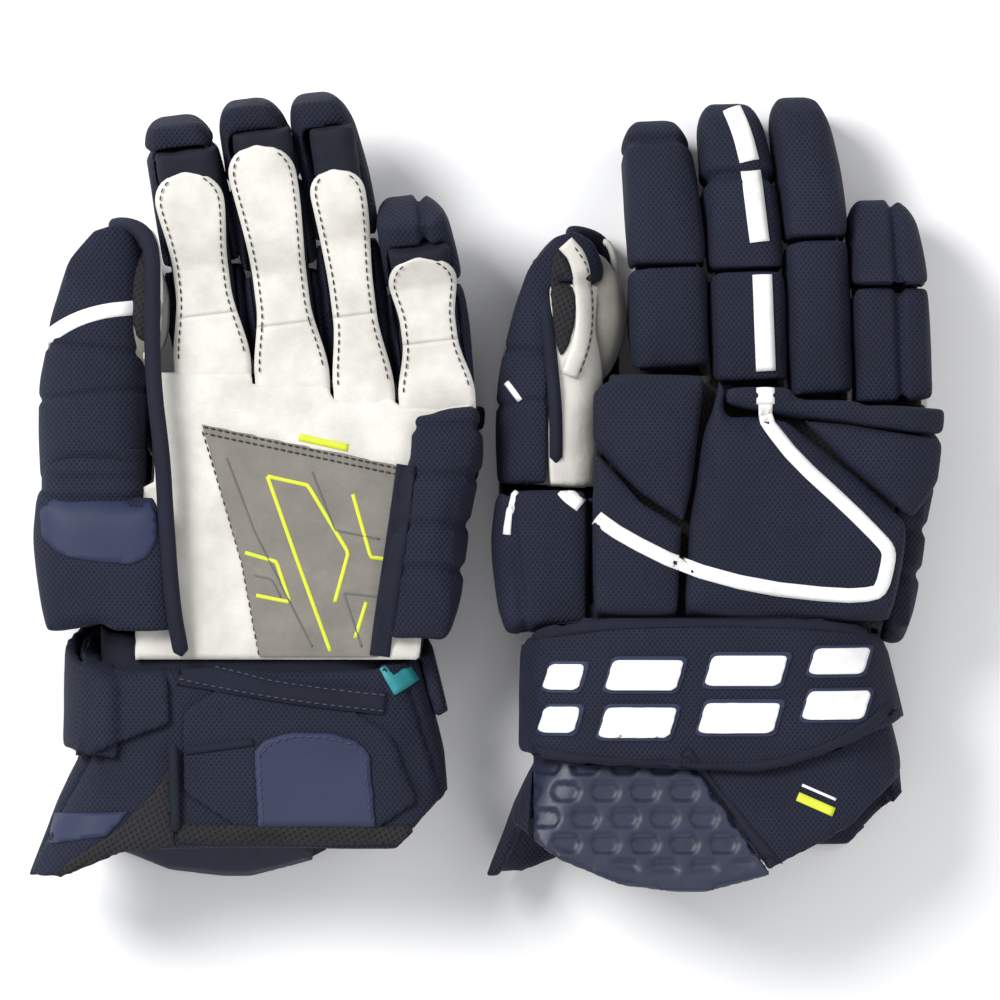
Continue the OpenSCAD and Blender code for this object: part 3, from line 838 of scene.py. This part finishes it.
MIDDLE_SEAM, INDEX_SEAM, PINKY_SEAM = 37, 50, 3
channel(PADS["middle_upper_roll"]["mesh"], finger_point("middle", 0, LOWER_L["middle"] + MIDDLE_SEAM),
        direction("middle", True), 4.5, 3.2)
channel(PADS["index_upper_roll"]["mesh"], finger_point("index", 0, LOWER_L["index"] + INDEX_SEAM),
        direction("index", True), 4.0, 2.4)
across_pinky = (FRAMES["pinky"].to_3x3() @ Vector((1, 0, 0))).normalized()
for part in ("lower", "upper"):
    channel(PADS[f"pinky_{part}_roll"]["mesh"], finger_point("pinky", PINKY_SEAM, 10), across_pinky, 3.5,
            3.4)
for along in (14, 34, 56, 78):
    channel(PADS["side_roll"]["mesh"], at(0, 128 + along), Vector((0, 1, 0)), 4.5, 2.0)
channel(PADS["thumb_guard"]["mesh"], at(-80, 241), Vector((0.1, 1, 0)).normalized(), 3.5, 1.6)
channel(PADS["thumb_guard"]["mesh"], at(-80, 220), Vector((-0.1, 1, 0)).normalized(), 3.0, 1.4)
channel(PADS["thumb_base_pad"]["mesh"], at(-92, 150), Vector((1, 0.12, 0)).normalized(), 3.5, 2.0,
        lambda p: p.z > PALM_Z)

CUFF_AXIS = at(-10, 0, 22)


def lined(mesh):
    """Marks the faces that look into the cuff, for its lining."""
    for polygon in mesh.polygons:
        out = Vector((polygon.center.x - CUFF_AXIS.x, 0, polygon.center.z - CUFF_AXIS.z))
        polygon.material_index = 1 if polygon.normal.dot(out.normalized()) < -0.25 else 0


for number, (name, pad) in enumerate(PADS.items()):
    wrinkled(pad["mesh"], 26, 0.7, number)
    in_cuff = name.startswith("cuff")
    if in_cuff:
        lined(pad["mesh"])
    place_piece(name, pad["mesh"], BODY_OF[name], [MESH, LINING] if in_cuff else MESH,
                STANDS_FOR.get(name, [name]))

CUFF_SKIN = Surface(*(PADS[p]["mesh"] for p in CUFF_PADS))
THUMB_SKIN = Surface(PADS["thumb_guard"]["mesh"])


# ---------------------------------------------------------------- liner, stalls and thumb leather

place_piece("hand_liner", wrinkled(remeshed(cad_copy("hand_liner"), 1.6, 2), 20, 0.6, 40), "hand", LINING,
            ["hand_liner"])
for number, finger in enumerate(FINGERS):
    for part in ("lower", "upper"):
        gusset = remeshed(cad_copy(f"{finger}_{part}_stall"), 1.3, 2)
        place_piece(f"{finger}_{part}_gusset", wrinkled(gusset, 7, 0.7, 50 + number), f"{finger}_{part}",
                    GUSSET,
                    [f"{finger}_{part}_stall"])

thumb_leather = remeshed(cad_copy("thumb_stall"), 1.6, 4)
wrinkled(thumb_leather, 18, 1.2, 60)
place_piece("thumb_leather", thumb_leather, "thumb", LEATHER, ["thumb_stall"])


def lobe(rows, name_seed):
    """A soft closed lobe from rows of (y, left, right, low, high) in the plan, with round cross-sections."""
    verts, sides = [], 28
    for y, left, right, low, high in rows:
        for k in range(sides):
            a = 2 * math.pi * k / sides
            c, s = math.cos(a), math.sin(a)
            x = (left + right) / 2 + (right - left) / 2 * rounded_power(c, 0.7)
            z = (low + high) / 2 + (high - low) / 2 * rounded_power(s, 0.7)
            verts.append(at(x, y, z))
    faces = quads(len(rows), sides, True)
    faces.append(list(range(sides))[::-1])
    faces.append(list(range((len(rows) - 1) * sides, len(rows) * sides)))
    return wrinkled(tidy_normals(mesh_of(verts, faces)), 14, 0.8, name_seed)


def thumb_inner_rows():
    """The suede inner side of the thumb, bulging towards the index finger."""
    rows = []
    for i in range(25):
        t = i / 24
        bulge = math.sin(math.pi * t) ** 0.6 if 0 < t < 1 else 0.03
        rows.append((229 + 58 * t, -62 + 2 * t, -55 + 13 * bulge, 6 - 14 * bulge, 14 + 19 * bulge))
    return rows


inner_thumb = lobe(thumb_inner_rows(), 61)
place_piece("thumb_inner_suede", inner_thumb, "thumb", SUEDE)
THUMB_INSIDE = Surface(thumb_leather, inner_thumb, PADS["thumb_guard"]["mesh"])
opening = rounded(plan((-77, 287), (-70, 286), (-66, 272), (-64.5, 256), (-69, 241), (-73, 238),
                       (-76, 255)), 2, True)
place_piece("thumb_opening", patch(opening, THUMB_INSIDE, 0.7, 1.0, 2.2), "thumb", LINING)
rim = rounded(plan((-70, 290), (-63.5, 283), (-61, 262), (-62, 246), (-68, 231)), 2)
place_piece("thumb_leather_rim", ribbon(rim, 7.5, THUMB_INSIDE, 1.0, crown=0.5), "thumb", LEATHER)
rim_stitch = rounded(plan((-66, 288), (-60, 279), (-58.4, 262), (-59.4, 246), (-64, 232)), 2)
place_piece("thumb_rim_stitches", stitches(laid(resample(rim_stitch, 2 * MM), THUMB_INSIDE, 1.6)), "thumb",
            BLACK_THREAD)
palm_opening = rounded(plan((-58, 291), (-47.5, 289), (-45.5, 268), (-46, 248), (-58, 241)), 2, True)
place_piece("thumb_gusset", patch(palm_opening, Surface(inner_thumb), 0.9, 1.2, 2.2, UP), "thumb", LINING)
palm_rim = rounded(plan((-53, 294), (-47.5, 290), (-45.5, 268), (-46.5, 246), (-53, 236)), 2)
place_piece("thumb_gusset_rim", tube([p + Vector((0, 0, -4 * MM)) for p in palm_rim], 1.6, 8), "thumb",
            LEATHER)

# The knit tube that edges the thumb, on the palm side and over its tip
palm_tube = rounded([at(-36, 104, -4), at(-40, 127, -9), at(-43, 172, -11), at(-44, 192, -12.5),
                     at(-48.5, 228, -12.5),
                     at(-48.5, 265, -12.5), at(-48.5, 284, -11), at(-53, 293, -7), at(-61, 296, 0),
                     at(-68, 296, 10)], 2)
place_piece("thumb_edge_tube", tube(palm_tube, 3.6, 14, 2.5), "hand", RIB,
            across=("thumb", at(-45, 176, -8), at(-45, 188, -8)))
back_tube = rounded([at(-82, 284, 26), at(-80, 275, 34), at(-78.5, 258, 39), at(-76, 236, 41),
                     at(-74, 214, 41),
                     at(-74, 192, 40)], 2)
place_piece("thumb_back_tube", tube(back_tube, 3.0, 14, 2.5), "thumb", RIB)


def thumb_gusset_sheet():
    """Knit that bridges the thumb's joint on its outer and palm sides, just inside the pads."""
    verts, across, along = [], 33, 13
    for j in range(along):
        y = 166 + 30 * j / (along - 1)
        fold = 1.2 * math.sin(j * 1.7)
        for i in range(across):
            a = math.radians(-8 + 198 * i / (across - 1))
            c, s = math.cos(a), math.sin(a)
            x = -75.5 + 24.0 * rounded_power(c, 0.6)
            z = 15 - (24.0 + fold) * rounded_power(s, 0.6)
            verts.append(at(x, y, z))
    faces = quads(along, across)
    mesh = apply_modifiers(tidy_normals(mesh_of(verts, faces)), ("SOLIDIFY", {"thickness": 1.2 * MM}),
                           ("SUBSURF", {"levels": 1, "render_levels": 1}))
    return smooth_shaded(mesh)


place_piece("thumb_joint_gusset", thumb_gusset_sheet(), "hand", MESH,
            across=("thumb", at(-75, 176, 0), at(-75, 188, 0)))


def wrist_gusset():
    """The knit sleeve inside the wrist seam, which closes the gap between the hand and the cuff."""
    verts, around, along = [], 96, 11
    for j in range(along):
        way = -11 + 22 * j / (along - 1)
        for i in range(around):
            a = 2 * math.pi * i / around
            c, s = math.cos(a), math.sin(a)
            x = -9 + 64 * rounded_power(c, 0.45)
            z = 23.5 + (20.5 + 0.5 * math.sin(3 * j)) * rounded_power(s, 0.45)
            verts.append(at(x, 100 + SEAM_SLOPE * z + way, z))
    faces = quads(along, around, True)
    mesh = apply_modifiers(tidy_normals(mesh_of(verts, faces)),
                           ("SOLIDIFY", {"thickness": 1.2 * MM, "offset": 0}),)
    return smooth_shaded(mesh)


SEAM_SLOPE = 26 / 61
seam_way = Vector((0, 1, -SEAM_SLOPE)).normalized() * (7 * MM)
place_piece("wrist_gusset", wrist_gusset(), "hand", GUSSET,
            across=("cuff", at(0, 100, 0) + seam_way, at(0, 100, 0) - seam_way))


# ---------------------------------------------------------------- palm

def waved_plane():
    """The palm's own form: nearly flat, with soft hollows."""
    xs, ys = range(-70, 104, 3), range(92, 246, 3)
    verts = [at(x, y, -0.4 + 1.1 * noise.noise(Vector((x / 26, y / 34, 3.3)))) for y in ys for x in xs]
    n = len(xs)
    faces = [[j * n + i, j * n + i + 1, (j + 1) * n + i + 1, (j + 1) * n + i]
             for j in range(len(ys) - 1) for i in range(n - 1)]
    return Surface(mesh_of(verts, faces))


def palm_front():
    """The palm's stepped end, just behind each finger's own strip."""
    points, edge = [], -49.0
    for f in FINGERS:
        wide = WIDTH[f] + 1
        start = edge if f == "index" else mid_of(f) - wide / 2
        points += [(start, KNUCKLE_Y[f] - 3.2), (mid_of(f) + wide / 2 - 0.2, KNUCKLE_Y[f] - 3.2)]
    return points


def mid_of(finger):
    return (joint_at(f"right_{finger}_knuckle").x - PLAN_X) / MM


palm_outline = plan((-57.5, 101.5), (-57.5, 179), (-49, 181), *palm_front(), (84, 212), (70, 101.5))
palm_mesh = patch(palm_outline, waved_plane(), 0.2, 1.7, 3.0, UP)
place_piece("palm_leather", palm_mesh, "hand", LEATHER, ["palm_leather"])
PALM = Surface(palm_mesh)
suede_outline = plan((-28, 208), (64, 188.5), (52, 103), (-2, 103), (-10, 145), (-17.5, 171))
suede_mesh = patch(suede_outline, PALM, 1.0, 1.1, 3.0, UP)
place_piece("palm_suede", suede_mesh, "hand", SUEDE, ["palm_suede"])
PALM_TOP = Surface(palm_mesh, suede_mesh)
for number, drop in enumerate((1.6, 4.4)):
    seam = plan((-26.5, 207.6 - drop), (62.5, 188.6 - drop))
    place_piece(f"palm_seam_{number + 1}", stitches(laid(resample(seam, 2 * MM), PALM_TOP, 0.25, UP), 2.4,
                                                    1.0, 0.42),
                "hand", BLACK_THREAD)
suede_side = plan((-27, 204), (-17, 171), (-9.5, 145), (-1.8, 104))
place_piece("palm_side_seam", stitches(laid(resample(suede_side, 2 * MM), PALM_TOP, 0.25, UP), 2.2, 1.2,
                                       0.35),
            "hand", BLACK_THREAD)

# Printed guide lines: plain chevrons in yellow and grey
yellow_lines = [[(2, 184), (20, 180), (38, 150), (32, 128)], [(2, 184), (14, 150), (30, 106)],
                [(-8, 150), (6, 146), (12, 128), (-3, 131)], [(40, 176), (48, 148), (56, 147)],
                [(46, 128), (41, 112)]]
grey_lines = [[(-16, 192), (-4, 160), (22, 108)], [(22, 186), (32, 160), (52, 156)],
              [(-4, 140), (4, 138), (8, 130)],
              [(36, 132), (54, 130)], [(36, 132), (44, 108)]]
for color, lines, material, wide in (("yellow", yellow_lines, YELLOW, 1.7),
                                     ("grey", grey_lines, DARK_PRINT, 0.9)):
    bands = [ribbon(plan(*line), wide, Surface(suede_mesh), 0.12, UP, 2.0, 3, 0.02) for line in lines]
    place_piece(f"palm_print_{color}", joined(*bands), "hand", material)
bar = plan((16, 201.4), (38, 196.6))
place_piece("palm_yellow_bar", ribbon(bar, 3.4, PALM, 0.12, UP, 2.0, 3, 0.02), "hand", YELLOW)


def strip_width(finger, along):
    """Half width in mm of a finger's leather at a place along it, measured from its knuckle."""
    end = LOWER_L[finger] + STRIP_END[finger]
    full = WIDTH[finger] / 2 - 0.4
    neck, head = 0.72 * full, 0.90 * full
    neck_at = min(0.52 * end, 44)
    if along < neck_at:
        half = full + (neck - full) * smooth_step((along - 1) / (neck_at * 0.75))
    else:
        half = neck + (head - neck) * smooth_step((along - neck_at) / (end - neck_at - 10))
    left = end - along
    if left < head:
        half *= math.sqrt(max(0.0, 1 - (1 - left / head) ** 2.4))
    return max(half, 0.8)


STRIP_LEAN = {"index": -4.0, "middle": -5.5, "ring": -6.5, "pinky": -4.0}
STRIP_END = {"index": 43, "middle": 57, "ring": 32, "pinky": 15}


def strip_drift(finger, along):
    """How far a finger's leather drifts sideways with the lean of its tip."""
    past = max(0.0, along - LOWER_L[finger]) / (STALL_END[finger] + 14)
    return STRIP_LEAN[finger] * min(past, 1.0) ** 2


def strip_mesh(finger, start, end, lift=0.9, thick=1.4, across=11):
    """A finger's leather between two places along it."""
    steps = max(4, round((end - start) / 1.8))
    verts = []
    for i in range(steps + 1):
        along = start + (end - start) * i / steps
        half = strip_width(finger, along)
        low_row, top_row = [], []
        for k in range(across):
            u = 2 * k / (across - 1) - 1
            x = u * half + strip_drift(finger, along)
            soft = 0.5 * noise.noise(Vector((x / 9, along / 11, len(finger))))
            edge = 1.0 * abs(u) ** 5
            rooted = smooth_step((along + 9) / 10)
            z = rooted * (-lift + edge + soft) - 0.2 * (1 - rooted)
            low_row.append(finger_point(finger, x, along, z))
            top_row.append(finger_point(finger, x, along, z + thick))
        verts += low_row + top_row[::-1]
    per = across * 2
    faces = quads(steps + 1, per, True)
    faces.append(list(range(per))[::-1])
    faces.append(list(range(steps * per, (steps + 1) * per)))
    return tidy_normals(mesh_of(verts, faces))


def strip_stitches(finger, start, end, side, inset=2.3):
    """The row of dashes inside one edge of a finger's leather."""
    line = []
    steps = max(3, round((end - start) / 1.5))
    down = -(FRAMES[finger].to_3x3() @ Vector((0, 0, 1))).normalized()
    for i in range(steps + 1):
        along = start + (end - start) * i / steps
        half = max(strip_width(finger, along) - inset, 0.0)
        x = side * half + strip_drift(finger, along)
        line.append((finger_point(finger, x, along, -1.1), down))
    return stitches(line, 2.3, 1.1, 0.36)


def strip_cut(finger, start, end):
    """Flat size and area of a length of finger leather."""
    count = 40
    halves = [strip_width(finger, start + (end - start) * (i + 0.5) / count) for i in range(count)]
    area = sum(2 * h for h in halves) * (end - start) / count
    return {"flat": (2 * max(halves) * MM, (end - start) * MM), "area": area * MM * MM, "held": "stretched",
            "rests_on": []}


for finger in FINGERS:
    middle = LOWER_L[finger] * 0.5
    end = LOWER_L[finger] + STRIP_END[finger]
    joint = LOWER_L[finger]
    hand_side = ("hand", finger_point(finger, 0, -4), finger_point(finger, 0, 6))
    tip_side = (f"{finger}_upper", finger_point(finger, 0, joint - 5), finger_point(finger, 0, joint + 5))
    for label, start, stop, part, across in (
            ("root", -9, middle, "hand", (f"{finger}_lower", hand_side[1], hand_side[2])),
            ("tip", middle, end, f"{finger}_lower", tip_side)):
        cut = strip_cut(finger, start, stop)
        place_piece(f"{finger}_leather_{label}", strip_mesh(finger, start, stop), part, LEATHER,
                    across=across)
        rows = [strip_stitches(finger, max(start, 4), min(stop, end - 2.4), side) for side in (-1, 1)]
        place_piece(f"{finger}_stitches_{label}", joined(*rows), part, BLACK_THREAD,
                    across=across)

side_band = rounded(plan((64, 189), (60, 160), (55, 128), (52, 104)), 2)
place_piece("palm_side_binding", ribbon(side_band, 9,
                                        Surface(palm_mesh, suede_mesh, PADS["side_roll"]["mesh"]), 0.9, UP,
                                        crown=0.5), "hand", RIB)


# ---------------------------------------------------------------- gussets at the finger joints

def sleeve(finger, rows):
    """A black knit sleeve inside a finger's joint, from rows of (along, half width, bottom, top)."""
    verts, around = [], 40
    for along, half, bottom, top in rows:
        middle, tall = (bottom + top) / 2, (top - bottom) / 2
        for i in range(around):
            a = 2 * math.pi * i / around
            c, s = math.cos(a), math.sin(a)
            verts.append(finger_point(finger, half * rounded_power(c, 0.4), along,
                                      middle + tall * rounded_power(s, 0.4)))
    faces = quads(len(rows), around, True)
    mesh = apply_modifiers(tidy_normals(mesh_of(verts, faces)),
                           ("SOLIDIFY", {"thickness": 0.8 * MM, "offset": 0}))
    return smooth_shaded(mesh)


for finger in WIDTH:
    half, joint = WIDTH[finger] / 2 - 4.5, LOWER_L[finger]
    rows = [(-8 + k, half + 1.5, 3.5, 24.0 + 14.0 * smooth_step((-3 - (-8 + k)) / 4)) for k in range(6)]
    rows += [(-2 + k, half, 3.5, 22.0 + 0.4 * (k % 2)) for k in range(12)]
    place_piece(f"{finger}_knuckle_sleeve", sleeve(finger, rows), "hand", GUSSET,
                across=(f"{finger}_lower", finger_point(finger, 0, -4), finger_point(finger, 0, 6)))
    rows = [(joint - 10 + k, half, 3.5, 22.0 + 0.4 * (k % 2)) for k in range(20)]
    place_piece(f"{finger}_joint_sleeve", sleeve(finger, rows), f"{finger}_lower", GUSSET,
                across=(f"{finger}_upper", finger_point(finger, 0, joint - 5),
                        finger_point(finger, 0, joint + 5)))


# ---------------------------------------------------------------- stripes on the back

HAND_SKIN = Surface(*(PADS[p]["mesh"] for p in HAND_PADS))
contour = rounded(plan((18.5, 218), (18.5, 211), (21, 207), (32, 193), (55, 172), (70, 157), (73, 153),
                       (72.5, 147),
                       (70, 137), (67, 134), (52, 133), (15, 137), (-18, 146), (-44, 159), (-56, 167.5)), 1)
contour_end = rounded(plan((-63, 173), (-71, 179), (-73, 186), (-80, 190)), 1)
place_piece("contour_stripe", ribbon(contour, 6.2, HAND_SKIN, 0.5, crown=0.4), "hand", WHITE_TRIM)
place_piece("contour_stripe_end", ribbon(contour_end, 6.2, HAND_SKIN, 0.5, crown=0.4), "hand", WHITE_TRIM)
thumb_line = rounded(plan((-96, 160), (-94, 176), (-88, 186)), 2)
place_piece("thumb_contour", ribbon(thumb_line, 3.0, HAND_SKIN, 0.5, crown=0.3), "hand", WHITE_TRIM)
knuckle_tab = plan((18.5, 227), (18.5, 218))
place_piece("knuckle_roll_stripe", ribbon(knuckle_tab, 8.0, HAND_SKIN, 0.5, crown=0.4), "hand", WHITE_TRIM)


def finger_stripe(name, part, points, width=8.5):
    line = rounded([finger_point("middle", x, y, 60) for x, y in points], 2)
    skin = Surface(PADS[f"middle_{part}_roll"]["mesh"])
    place_piece(name, ribbon(line, width, skin, 0.7, crown=0.4), f"middle_{part}", WHITE_TRIM)


JOINT = LOWER_L["middle"]
finger_stripe("middle_stripe_lower", "lower", [(6.5, 1.5), (6.5, JOINT - 1.5)])
finger_stripe("middle_stripe_mid", "upper", [(6, JOINT + 1.5), (3.5, JOINT + MIDDLE_SEAM - 2)])
finger_stripe("middle_stripe_tip", "upper", [(3, JOINT + MIDDLE_SEAM + 2), (0.5, JOINT + 52),
                                             (-3.5, JOINT + 64)])
thumb_stripe = rounded(plan((-99, 243), (-86, 252), (-72, 257), (-56, 259)), 2)
place_piece("thumb_stripe", ribbon(thumb_stripe, 6.4, THUMB_SKIN, 0.5, UP, crown=0.4), "thumb", WHITE_TRIM)
thumb_dash = plan((-96, 228), (-90, 220))
place_piece("thumb_dash", ribbon(thumb_dash, 2.4, THUMB_SKIN, 0.4), "thumb", WHITE_TRIM)
smooth_outline = rounded(plan((-100, 176), (-98, 150), (-60, 143), (-46, 150), (-46, 172), (-60, 178)), 1,
                         True)
place_piece("thumb_smooth_patch", patch(smooth_outline, HAND_SKIN, 0.5, 0.9, 3.0, UP), "hand", SMOOTH)


# ---------------------------------------------------------------- wrist band and cuff

def slanted(x0, x1, y0, y1, lean, grow=0.0, cut=1.6):
    """A slanted bar's outline in the plan, with its corners cut."""
    y0, y1, x0, x1 = y0 - grow, y1 + grow, x0 - grow, x1 + grow
    shift = lean * (y1 - y0)
    corners = plan((x0, y0), (x1, y0), (x1 + shift, y1), (x0 + shift, y1))
    points = []
    for k, p in enumerate(corners):
        before, after = corners[k - 1], corners[(k + 1) % 4]
        points += [p + (before - p).normalized() * (cut * MM), p + (after - p).normalized() * (cut * MM)]
    return points


BAND_SKIN = Surface(PADS["wrist_band"]["mesh"])
BAND_BARS = [(-82, -66, 72, 84), (-80, -64, 91, 103), (-56, -24, 70, 84), (-53, -21, 91, 105),
             (-12, 22, 72, 86), (-9, 25, 93, 107), (34, 62, 78, 91), (37, 62, 98, 110)]
for number, (x0, x1, low, high) in enumerate(BAND_BARS):
    place_piece(f"band_underlay_{number + 1}", patch(slanted(x0, x1, low, high, 0.28, 1.5), BAND_SKIN, 0.5,
                                                     1.2, 1.6),
                "cuff", SMOOTH)
    place_piece(f"band_bar_{number + 1}", patch(slanted(x0, x1, low, high, 0.28), BAND_SKIN, 1.5, 2.4,
                                                1.6), "cuff",
                WHITE_TRIM)

band_top = rounded(plan((-84, 116), (-50, 121), (-10, 122.5), (40, 121), (64, 118)), 2)
place_piece("band_top_binding", ribbon(band_top, 5, BAND_SKIN, 0.7, crown=0.7), "cuff", RIB)
band_low = rounded(plan((-84, 64), (-60, 59.5), (-20, 56.5), (18, 56), (52, 67), (76, 84)), 2)
place_piece("band_low_binding", ribbon(band_low, 4.5, BAND_SKIN, 0.7, crown=0.7), "cuff", RIB)


def hex_depth(x, y):
    """How deep the moulded sheet's hexagon pattern is at a place in the plan, from 0 to 1."""
    wide, high = 17.5, 11.5
    row = round(y / high)
    dx = abs((x / wide + 0.5 * (row % 2) + 0.5) % 1.0 - 0.5) * wide
    dy = abs(y - row * high)
    edge = max(dy / 4.4, (0.86 * dx + 0.5 * dy) / 6.3)
    return smooth_step((1.0 - edge) / 0.22)


def moulded_insert():
    """The moulded sheet on the back of the cuff, with its pattern pressed into the outer face."""
    mesh = remeshed(cad_copy("cuff_insert"), 1.3, 3)
    for v, out in [(v, v.normal.copy()) for v in mesh.vertices]:
        if out.z > 0.2:
            x, y = (v.co.x - PLAN_X) / MM, (v.co.y - PLAN_Y) / MM
            rim = smooth_step((y - 8 - 0.0035 * (x + 20) ** 2) / 6)
            v.co -= out * (1.7 * MM * hex_depth(x, y) * rim)
            v.co += out * (0.4 * MM)
    mesh = apply_modifiers(mesh, ("SMOOTH", {"factor": 0.4, "iterations": 1}))
    lined(mesh)
    return smooth_shaded(mesh)


place_piece("cuff_insert", moulded_insert(), "cuff", [MOULDED, LINING], ["cuff_insert"])

PANELS = Surface(PADS["cuff_panels"]["mesh"])
lap = rounded(plan((-17, 64), (2, 38), (24, 13)), 1)
place_piece("cuff_lap_binding", ribbon(lap, 5.5, CUFF_SKIN, 0.9, crown=0.6), "cuff", RIB)
lap_left = plan((-62, 57), (-84, 32))
place_piece("cuff_lap_binding_left", ribbon(lap_left, 4.5, CUFF_SKIN, 0.9, crown=0.5), "cuff", RIB)
mark = plan((33, 44), (49, 37))
place_piece("cuff_yellow_bar", ribbon(mark, 4.0, PANELS, 0.4, crown=0.1), "cuff", YELLOW)
mark_line = plan((35, 49), (50, 42.5))
place_piece("cuff_white_line", ribbon(mark_line, 1.2, PANELS, 0.4, crown=0.1), "cuff", WHITE_TRIM)

# Palm side of the cuff
palm_panel = rounded(plan((-36, 97), (52, 84), (74, 24), (-35, 26)), 1, True)
panel_mesh = patch(palm_panel, CUFF_SKIN, 1.8, 2.2, 3.0, UP)
place_piece("cuff_palm_panel", panel_mesh, "cuff", MESH)
PANEL_SKIN = Surface(panel_mesh, PADS["cuff_palm"]["mesh"])
panel_top = rounded(plan((-37, 97), (10, 88), (54, 83)), 2)
place_piece("cuff_palm_binding", ribbon(panel_top, 10, PANEL_SKIN, 1.2, UP, crown=0.6), "cuff", RIB)
for number, shift in enumerate((-3.4, 3.4)):
    row = [p + Vector((0, shift * MM, 0)) for p in panel_top]
    place_piece(f"cuff_palm_stitches_{number + 1}",
                stitches(laid(resample(row, 2 * MM), PANEL_SKIN, 1.9, UP)), "cuff",
                NAVY_THREAD)
tab = plan((-2, 28), (-4, 62), (2, 68), (14, 71), (30, 70.5), (42, 67), (48, 61), (51, 28))
place_piece("cuff_tab", patch(tab, PANEL_SKIN, 1.1, 1.3, 2.6, UP), "cuff", SMOOTH)
tab_row = plan((0.5, 30), (-1.2, 60), (4, 65.5), (15, 68.6), (29, 68), (40, 65), (45.6, 59.5), (48.4, 30))
place_piece("cuff_tab_stitches", stitches(laid(resample(tab_row, 2 * MM), PANEL_SKIN, 1.35, UP)), "cuff",
            NAVY_THREAD)
cross_seam = plan((-34, 62), (-4, 66))
place_piece("cuff_cross_seam", ribbon(cross_seam, 3.2, PANEL_SKIN, 0.8, UP, crown=0.5), "cuff", RIB)
tag = plan((57, 101), (64, 90))
place_piece("side_tag", ribbon(tag, 12, CUFF_SKIN, 0.7, UP, crown=0.2), "cuff", TEAL)
hem = rounded(plan((-37, 26), (20, 24.5), (66, 25)), 2)
place_piece("cuff_hem", ribbon(hem, 8, PANEL_SKIN, 0.8, UP, crown=0.8), "cuff", LINING)
strap = plan((-80, 113), (-60, 112), (-42, 108), (-41, 74), (-62, 66), (-82, 58))
strap_mesh = patch(strap, CUFF_SKIN, 3.0, 3.2, 3.0, UP)
place_piece("wrist_strap", strap_mesh, "cuff", MESH)
edge_cord = rounded([p[0] for p in laid(plan((-40, 106), (-39.5, 64), (-38, 26)), PANEL_SKIN, 1.5, UP)], 1)
place_piece("cuff_edge_cord", tube(edge_cord, 2.2, 10, 2.5), "cuff", RIB)
notch = plan((-40, 56), (-38, 18), (-60, 16), (-92, 6), (-88, 12), (-66, 26), (-50, 42))
place_piece("cuff_notch_lining", patch(notch, CUFF_SKIN, 0.9, 1.0, 2.6, UP), "cuff", LINING)
flare_band = plan((-94, 34), (-58, 36), (-68, 24), (-96, 20))
place_piece("cuff_smooth_band", patch(flare_band, CUFF_SKIN, 0.6, 0.8, 2.6, UP), "cuff", SMOOTH)


# ---------------------------------------------------------------- camera and light

def make_stage():
    floor = bpy.data.objects.new("floor", mesh_of(
        [(-4, -4, 0), (4, -4, 0), (4, 4, 0), (-4, 4, 0)], [[0, 1, 2, 3]]))
    n = Nodes("floor_pale")
    coords = n.coords()
    n.link(n.ramp(n.noise(coords.outputs["Object"], 3.0),
                  [(0, (0.86, 0.86, 0.87)), (1, (0.90, 0.90, 0.90))]),
           n.bsdf.inputs["Base Color"])
    n.bsdf.inputs["Roughness"].default_value = 0.9
    floor.data.materials.append(n.mat)
    floor.location.z = CAD_BOX[0][2]
    SCENE.collection.objects.link(floor)


def area_light(name, place, target, size, power, color=(1, 1, 1)):
    light = bpy.data.lights.new(name, "AREA")
    light.shape = "RECTANGLE"
    light.size, light.size_y = size
    light.energy = power
    light.color = color
    obj = bpy.data.objects.new(name, light)
    obj.location = place
    obj.rotation_euler = (Vector(target) - Vector(place)).to_track_quat("-Z", "Y").to_euler()
    SCENE.collection.objects.link(obj)


def make_camera():
    low, high = (Vector(p) for p in CAD_BOX)
    middle = (low + high) / 2
    frame_width = (high.x - low.x) / 0.915
    height = 2.4
    cam = bpy.data.cameras.new("camera")
    cam.lens = 36 * height / frame_width
    obj = bpy.data.objects.new("camera", cam)
    obj.location = (middle.x + 0.006, middle.y - 0.006, high.z * 0.6 + height)
    SCENE.collection.objects.link(obj)
    SCENE.camera = obj


make_stage()
make_camera()
area_light("key", (-1.0, 0.7, 1.3), (0, 0, 0), (0.7, 0.7), 34)
area_light("fill", (1.2, 0.6, 1.6), (0, 0, 0), (1.2, 1.2), 9)
area_light("rim", (0.3, -1.5, 0.8), (0, 0, 0), (1.4, 0.6), 9)
world = bpy.data.worlds.new("studio")
world.use_nodes = True
world.node_tree.nodes["Background"].inputs["Color"].default_value = (0.95, 0.96, 1, 1)
world.node_tree.nodes["Background"].inputs["Strength"].default_value = 0.55
SCENE.world = world
SCENE.view_settings.view_transform = "Standard"
